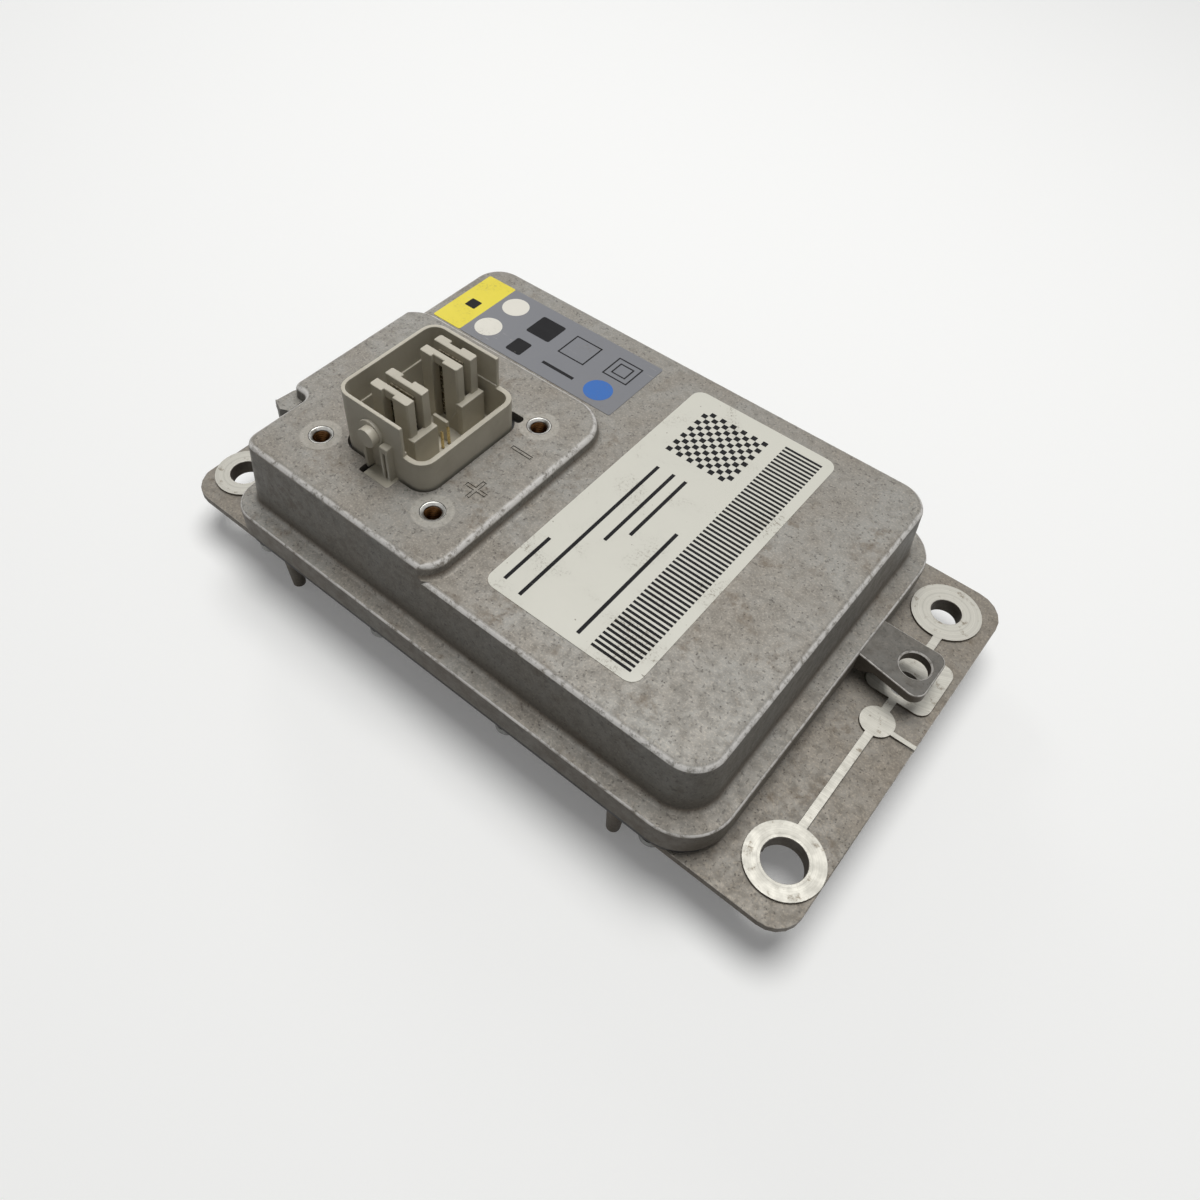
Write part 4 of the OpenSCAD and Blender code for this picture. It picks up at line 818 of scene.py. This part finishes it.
def softened(piece, groups):
    """Rounds each group of a piece's sharp edges: (picks the edge by its middle, width)."""
    shape = bmesh.new()
    shape.from_mesh(piece.data)
    bmesh.ops.remove_doubles(shape, verts=shape.verts, dist=WELD * MM)
    bmesh.ops.dissolve_limit(shape, angle_limit=FLAT_ANGLE, verts=shape.verts, edges=shape.edges)
    for picks, width in groups:
        edges = []
        for edge in shape.edges:
            if len(edge.link_faces) == 2 and edge.is_convex and edge.calc_face_angle() > EDGE_ANGLE:
                x, y, z = (edge.verts[0].co + edge.verts[1].co) / 2 / MM
                if picks(x + MID[0], y + MID[1], z):
                    edges.append(edge)
        bmesh.ops.bevel(shape, geom=edges, offset=width * MM, offset_type="OFFSET", segments=2, profile=0.5,
                        affect="EDGES", clamp_overlap=False)
    shape.to_mesh(piece.data)
    shape.free()
    return smooth(piece)


def from_plate_edge(x, y):
    """Distance from the outline of the base plate."""
    qx = abs(x - (BASE_X0 + BASE_X1) / 2) - (BASE_X1 - BASE_X0) / 2 + PLATE_R
    qy = abs(y - (BASE_Y0 + BASE_Y1) / 2) - (BASE_Y1 - BASE_Y0) / 2 + PLATE_R
    return abs(math.hypot(max(qx, 0), max(qy, 0)) + min(max(qx, qy), 0) - PLATE_R)


def from_bolt(x, y):
    """Distance from the middle of the nearest bolt ring."""
    return min(math.dist((x, y), ring) for ring in BOLT_RINGS)


def at_bore(x, y, z):
    return z > Z_FACE - NEAR_LEVEL and from_bolt(x, y) < BORE_WITHIN


def at_machined_face(x, y, z):
    return z > Z_FACE - NEAR_LEVEL and from_bolt(x, y) > FACE_BEYOND


def at_plate_bottom(x, y, z):
    return abs(z - Z_PLATE) < NEAR_LEVEL and from_plate_edge(x, y) < NEAR_OUTLINE


def at_plate_top(x, y, z):
    """The plate's top edge, but for the places where a bolt ring touches it."""
    at_outline = abs(z - Z_PLATE_TOP) < NEAR_LEVEL and from_plate_edge(x, y) < NEAR_OUTLINE
    return at_outline and from_bolt(x, y) > PLATE_BEYOND


def base():
    """The node's shape, with rounded edges."""
    groups = [(at_bore, BORE_EDGE), (at_machined_face, FACE_EDGE), (at_plate_bottom, PLATE_LOW_EDGE),
              (at_plate_top, PLATE_TOP_EDGE)]
    dress(softened(copy_of("base_casting", "base"), groups), "base_metal", "base_casting")


def header_block(x, y, z, l, w, top):
    """Block from z up to the top, placed by its middle from the middle of the header."""
    x, y = HEADER[0] + x, HEADER[1] + y
    return block("tool", x - l / 2, x + l / 2, y - w / 2, y + w / 2, z, top)


def header():
    """The node's shape, with rounded edges, with the towers' slots open behind and closed in front up to
    the foot, and with the ledge between the towers thinned to a wall."""
    inner = HEADER_W / 2 - HEADER_WALL - TOWER_W / 2
    tower_ys = (TOWER_GAPS[0] - inner, inner - TOWER_GAPS[1])
    back, front = TOWER_X - TOWER_L / 2, TOWER_X + TOWER_L / 2
    foot_x, foot_l = front + (TOWER_FOOT_L - TOWER_FOOT_IN) / 2, TOWER_FOOT_L + TOWER_FOOT_IN
    foot_low, foot_top = Z_CEILING - PAST / 2, Z_PLATFORM + TOWER_FOOT_H
    tower_top, ledge_top = Z_PLATFORM + TOWER_H + PAST, Z_PLATFORM + LEDGE_H + PAST
    piece = copy_of("header_housing", "header")
    for y in tower_ys:
        join(piece, header_block(foot_x, y, foot_low, foot_l, SLOT_W + 2 * LAP, foot_top))
        cut(piece, header_block(back + SLOT_IN / 2, y, Z_CEILING, SLOT_IN + PAST, SLOT_W, tower_top))
    face_y, depth = tower_ys[1] - TOWER_W / 2, LEDGE[1] - LEDGE_WALL
    cut(piece, header_block(LEDGE_X, face_y - depth / 2, Z_CEILING, LEDGE[0] + SLIP, depth, ledge_top))
    window_x1 = WINDOW_X + WINDOW_L / 2
    cut(piece, header_block(window_x1 - PAST, face_y, Z_CEILING, 2 * PAST, 2 * LAP, ledge_top))
    groups = [(lambda x, y, z: z > Z_PLATFORM - PAST, HEADER_EDGE)]
    dress(softened(piece, groups), "header_plastic", "header_housing")


# Inserts
def thread_row(centre, z, top):
    """Points round an insert's bore at height z, on a thread that starts softly below the top."""
    row = []
    for i in range(INSERT_SIDES):
        turn = (z / THREAD_PITCH + i / INSERT_SIDES) % 1
        ridge = THREAD_H * (1 - abs(2 * turn - 1)) * min(1, (top - z) / THREAD_RUN_IN)
        r = THREAD_D / 2 + INSERT_MOUTH[-1][0] - ridge
        angle = 2 * math.pi * i / INSERT_SIDES
        row.append((centre[0] + r * math.cos(angle), centre[1] + r * math.sin(angle), z))
    return row


def inserts():
    """Blind steel inserts with a rounded lip and a helical thread."""
    low, top, outer = Z_PLATFORM - INSERT_L, Z_PLATFORM - INSERT_MOUTH[-1][1], INSERT_D / 2
    rows = [(outer, low), (outer, Z_PLATFORM - INSERT_LIP), (outer - INSERT_LIP, Z_PLATFORM)]
    rows += [(THREAD_D / 2 + out, Z_PLATFORM - down) for out, down in INSERT_MOUTH]
    depth = top - (low + INSERT_FLOOR)
    steps = int(depth / THREAD_PITCH * THREAD_STEPS)
    verts, faces = [], []
    for centre in INSERTS:
        faces += stack_faces(len(verts), INSERT_SIDES, len(rows) + steps)
        for r, z in rows:
            verts += [(x, y, z) for x, y in circle(centre, 2 * r, INSERT_SIDES)]
        for k in range(1, steps + 1):
            verts += thread_row(centre, top - depth * k / steps, top)
    dress(smooth(new_object("inserts", verts, faces), 45), "insert_steel", "threaded_inserts")


# Print on the labels
def print_on(name, label, look, outlines):
    """Thin printed fields of one colour on a label."""
    verts, faces = [], []
    for outline in outlines:
        faces += stack_faces(len(verts), len(outline), 2)
        verts += [(x, y, z) for z in (Z_PRINT, Z_PRINT + PRINT_T) for x, y in outline]
    dress(new_object(name, verts, faces), label, look=look)


def field(xa, xb, ya, yb, r=PRINT_R):
    return box_outline(xa, xb, ya, yb, r, 5)


def square(centre, size, r=SQUARE_R):
    return field(centre[0] - size / 2, centre[0] + size / 2, centre[1] - size / 2, centre[1] + size / 2, r)


def square_frame(centre, size):
    """The four strips of a square frame."""
    (x, y), h, line = centre, size / 2, FRAME_LINE
    return [field(x - h, x + h, y - h, y - h + line), field(x - h, x + h, y + h - line, y + h),
            field(x - h, x - h + line, y - h + line, y + h - line),
            field(x + h - line, x + h, y - h + line, y + h - line)]


def white_label_print():
    """A checker, a column of bars and some strips."""
    (x, y), cell = CHECKS_AT, CHECKS_SIZE / CHECKS
    checks = [field(x + i * cell, x + (i + 1) * cell - CHECK_GAP,
                    y + j * cell, y + (j + 1) * cell - CHECK_GAP)
              for i in range(CHECKS) for j in range(CHECKS) if (i + j) % 2 == 0]
    bars = [field(*BAR_XS, BAR_Y + BAR_PITCH * k, BAR_Y + BAR_PITCH * k + BAR_T) for k in range(BARS)]
    strips = [field(x - STRIP_HALF, x + STRIP_HALF, ya, yb) for x, ya, yb in STRIPS]
    print_on("white_label_print", "label_white", "print_dark", checks + bars + strips)


def grey_label_print():
    """Pale discs, a blue disc, dark fields and square frames."""
    pale = [circle(disc, PALE_DISC_D, DISC_SIDES) for disc in PALE_DISCS]
    print_on("pale_print", "label_grey", "print_pale", pale)
    dark = [square(LARGE_SQUARE, LARGE_SQUARE_L), field(*SMALL_FIELD, SQUARE_R), field(*BAR_FIELD)]
    for centre, size in SQUARE_FRAMES:
        dark += square_frame(centre, size)
    print_on("dark_print", "label_grey", "print_dark", dark)
    print_on("blue_print", "label_grey", "print_blue", [circle(BLUE_DISC, BLUE_DISC_D, DISC_SIDES)])


def yellow_label_print():
    outline = square(YELLOW_SQUARE, YELLOW_SQUARE_L, YELLOW_SQUARE_R)
    print_on("yellow_label_print", "label_yellow", "print_dark", [outline])


# Floor and light
def seen(tree):
    """1 for what the camera sees, also in metal and glass, and 0 for diffuse light."""
    path = tree.nodes.new("ShaderNodeLightPath")
    total = path.outputs["Is Camera Ray"]
    for ray in ("Is Glossy Ray", "Is Transmission Ray"):
        most = tree.nodes.new("ShaderNodeMath")
        most.operation = "MAXIMUM"
        tree.links.new(total, most.inputs[0])
        tree.links.new(path.outputs[ray], most.inputs[1])
        total = most.outputs["Value"]
    return total


def make_floor():
    """A pale disc that looks brighter than the light it throws back at the part."""
    nodes = Nodes("floor_look")
    visible = seen(nodes.tree)
    nodes.finish(nodes.mix(visible, FLOOR_LIT, FLOOR_SEEN), FLOOR_ROUGH)
    nodes.shader.inputs["Emission Color"].default_value = (1, 1, 1, 1)
    nodes.link(nodes.times(visible, FLOOR_GLOW), nodes.shader.inputs["Emission Strength"])
    outline = circle(MID, FLOOR_D, FLOOR_SIDES)
    floor = new_object("floor", [(x, y, 0) for x, y in outline], [list(range(FLOOR_SIDES))])
    floor.data.materials.append(nodes.material)


def make_world():
    """A nearly white surround that lights the part only a little."""
    world = bpy.data.worlds.new("world")
    world.use_nodes = True
    tree = world.node_tree
    light = tree.nodes["Background"]
    light.inputs["Color"].default_value = WORLD_TINT
    level = tree.nodes.new("ShaderNodeMapRange")
    level.inputs["To Min"].default_value, level.inputs["To Max"].default_value = WORLD_LIT, WORLD_SEEN
    tree.links.new(seen(tree), level.inputs["Value"])
    tree.links.new(level.outputs["Result"], light.inputs["Strength"])
    bpy.context.scene.world = world
    bpy.context.scene.view_settings.view_transform = "Standard"


def lamp(name, place, size, power):
    """Round area lamp aimed at the part, with its place and size in metres and its power in watts."""
    data = bpy.data.lights.new(name, "AREA")
    data.shape, data.size, data.energy = "DISK", size, power
    light = bpy.data.objects.new(name, data)
    light.location = place
    light.rotation_euler = (Vector(LAMP_TARGET) - Vector(place)).to_track_quat("-Z", "Y").to_euler()
    bpy.context.scene.collection.objects.link(light)


make_camera()
dress_cad_nodes()
cover()
base()
header()
inserts()
white_label_print()
grey_label_print()
yellow_label_print()
make_floor()
make_world()
lamp("key", place=(-0.05, 0.2, 1.2), size=0.8, power=11.2)
lamp("rim", place=(-0.9, 0.6, 0.55), size=0.3, power=1.2)
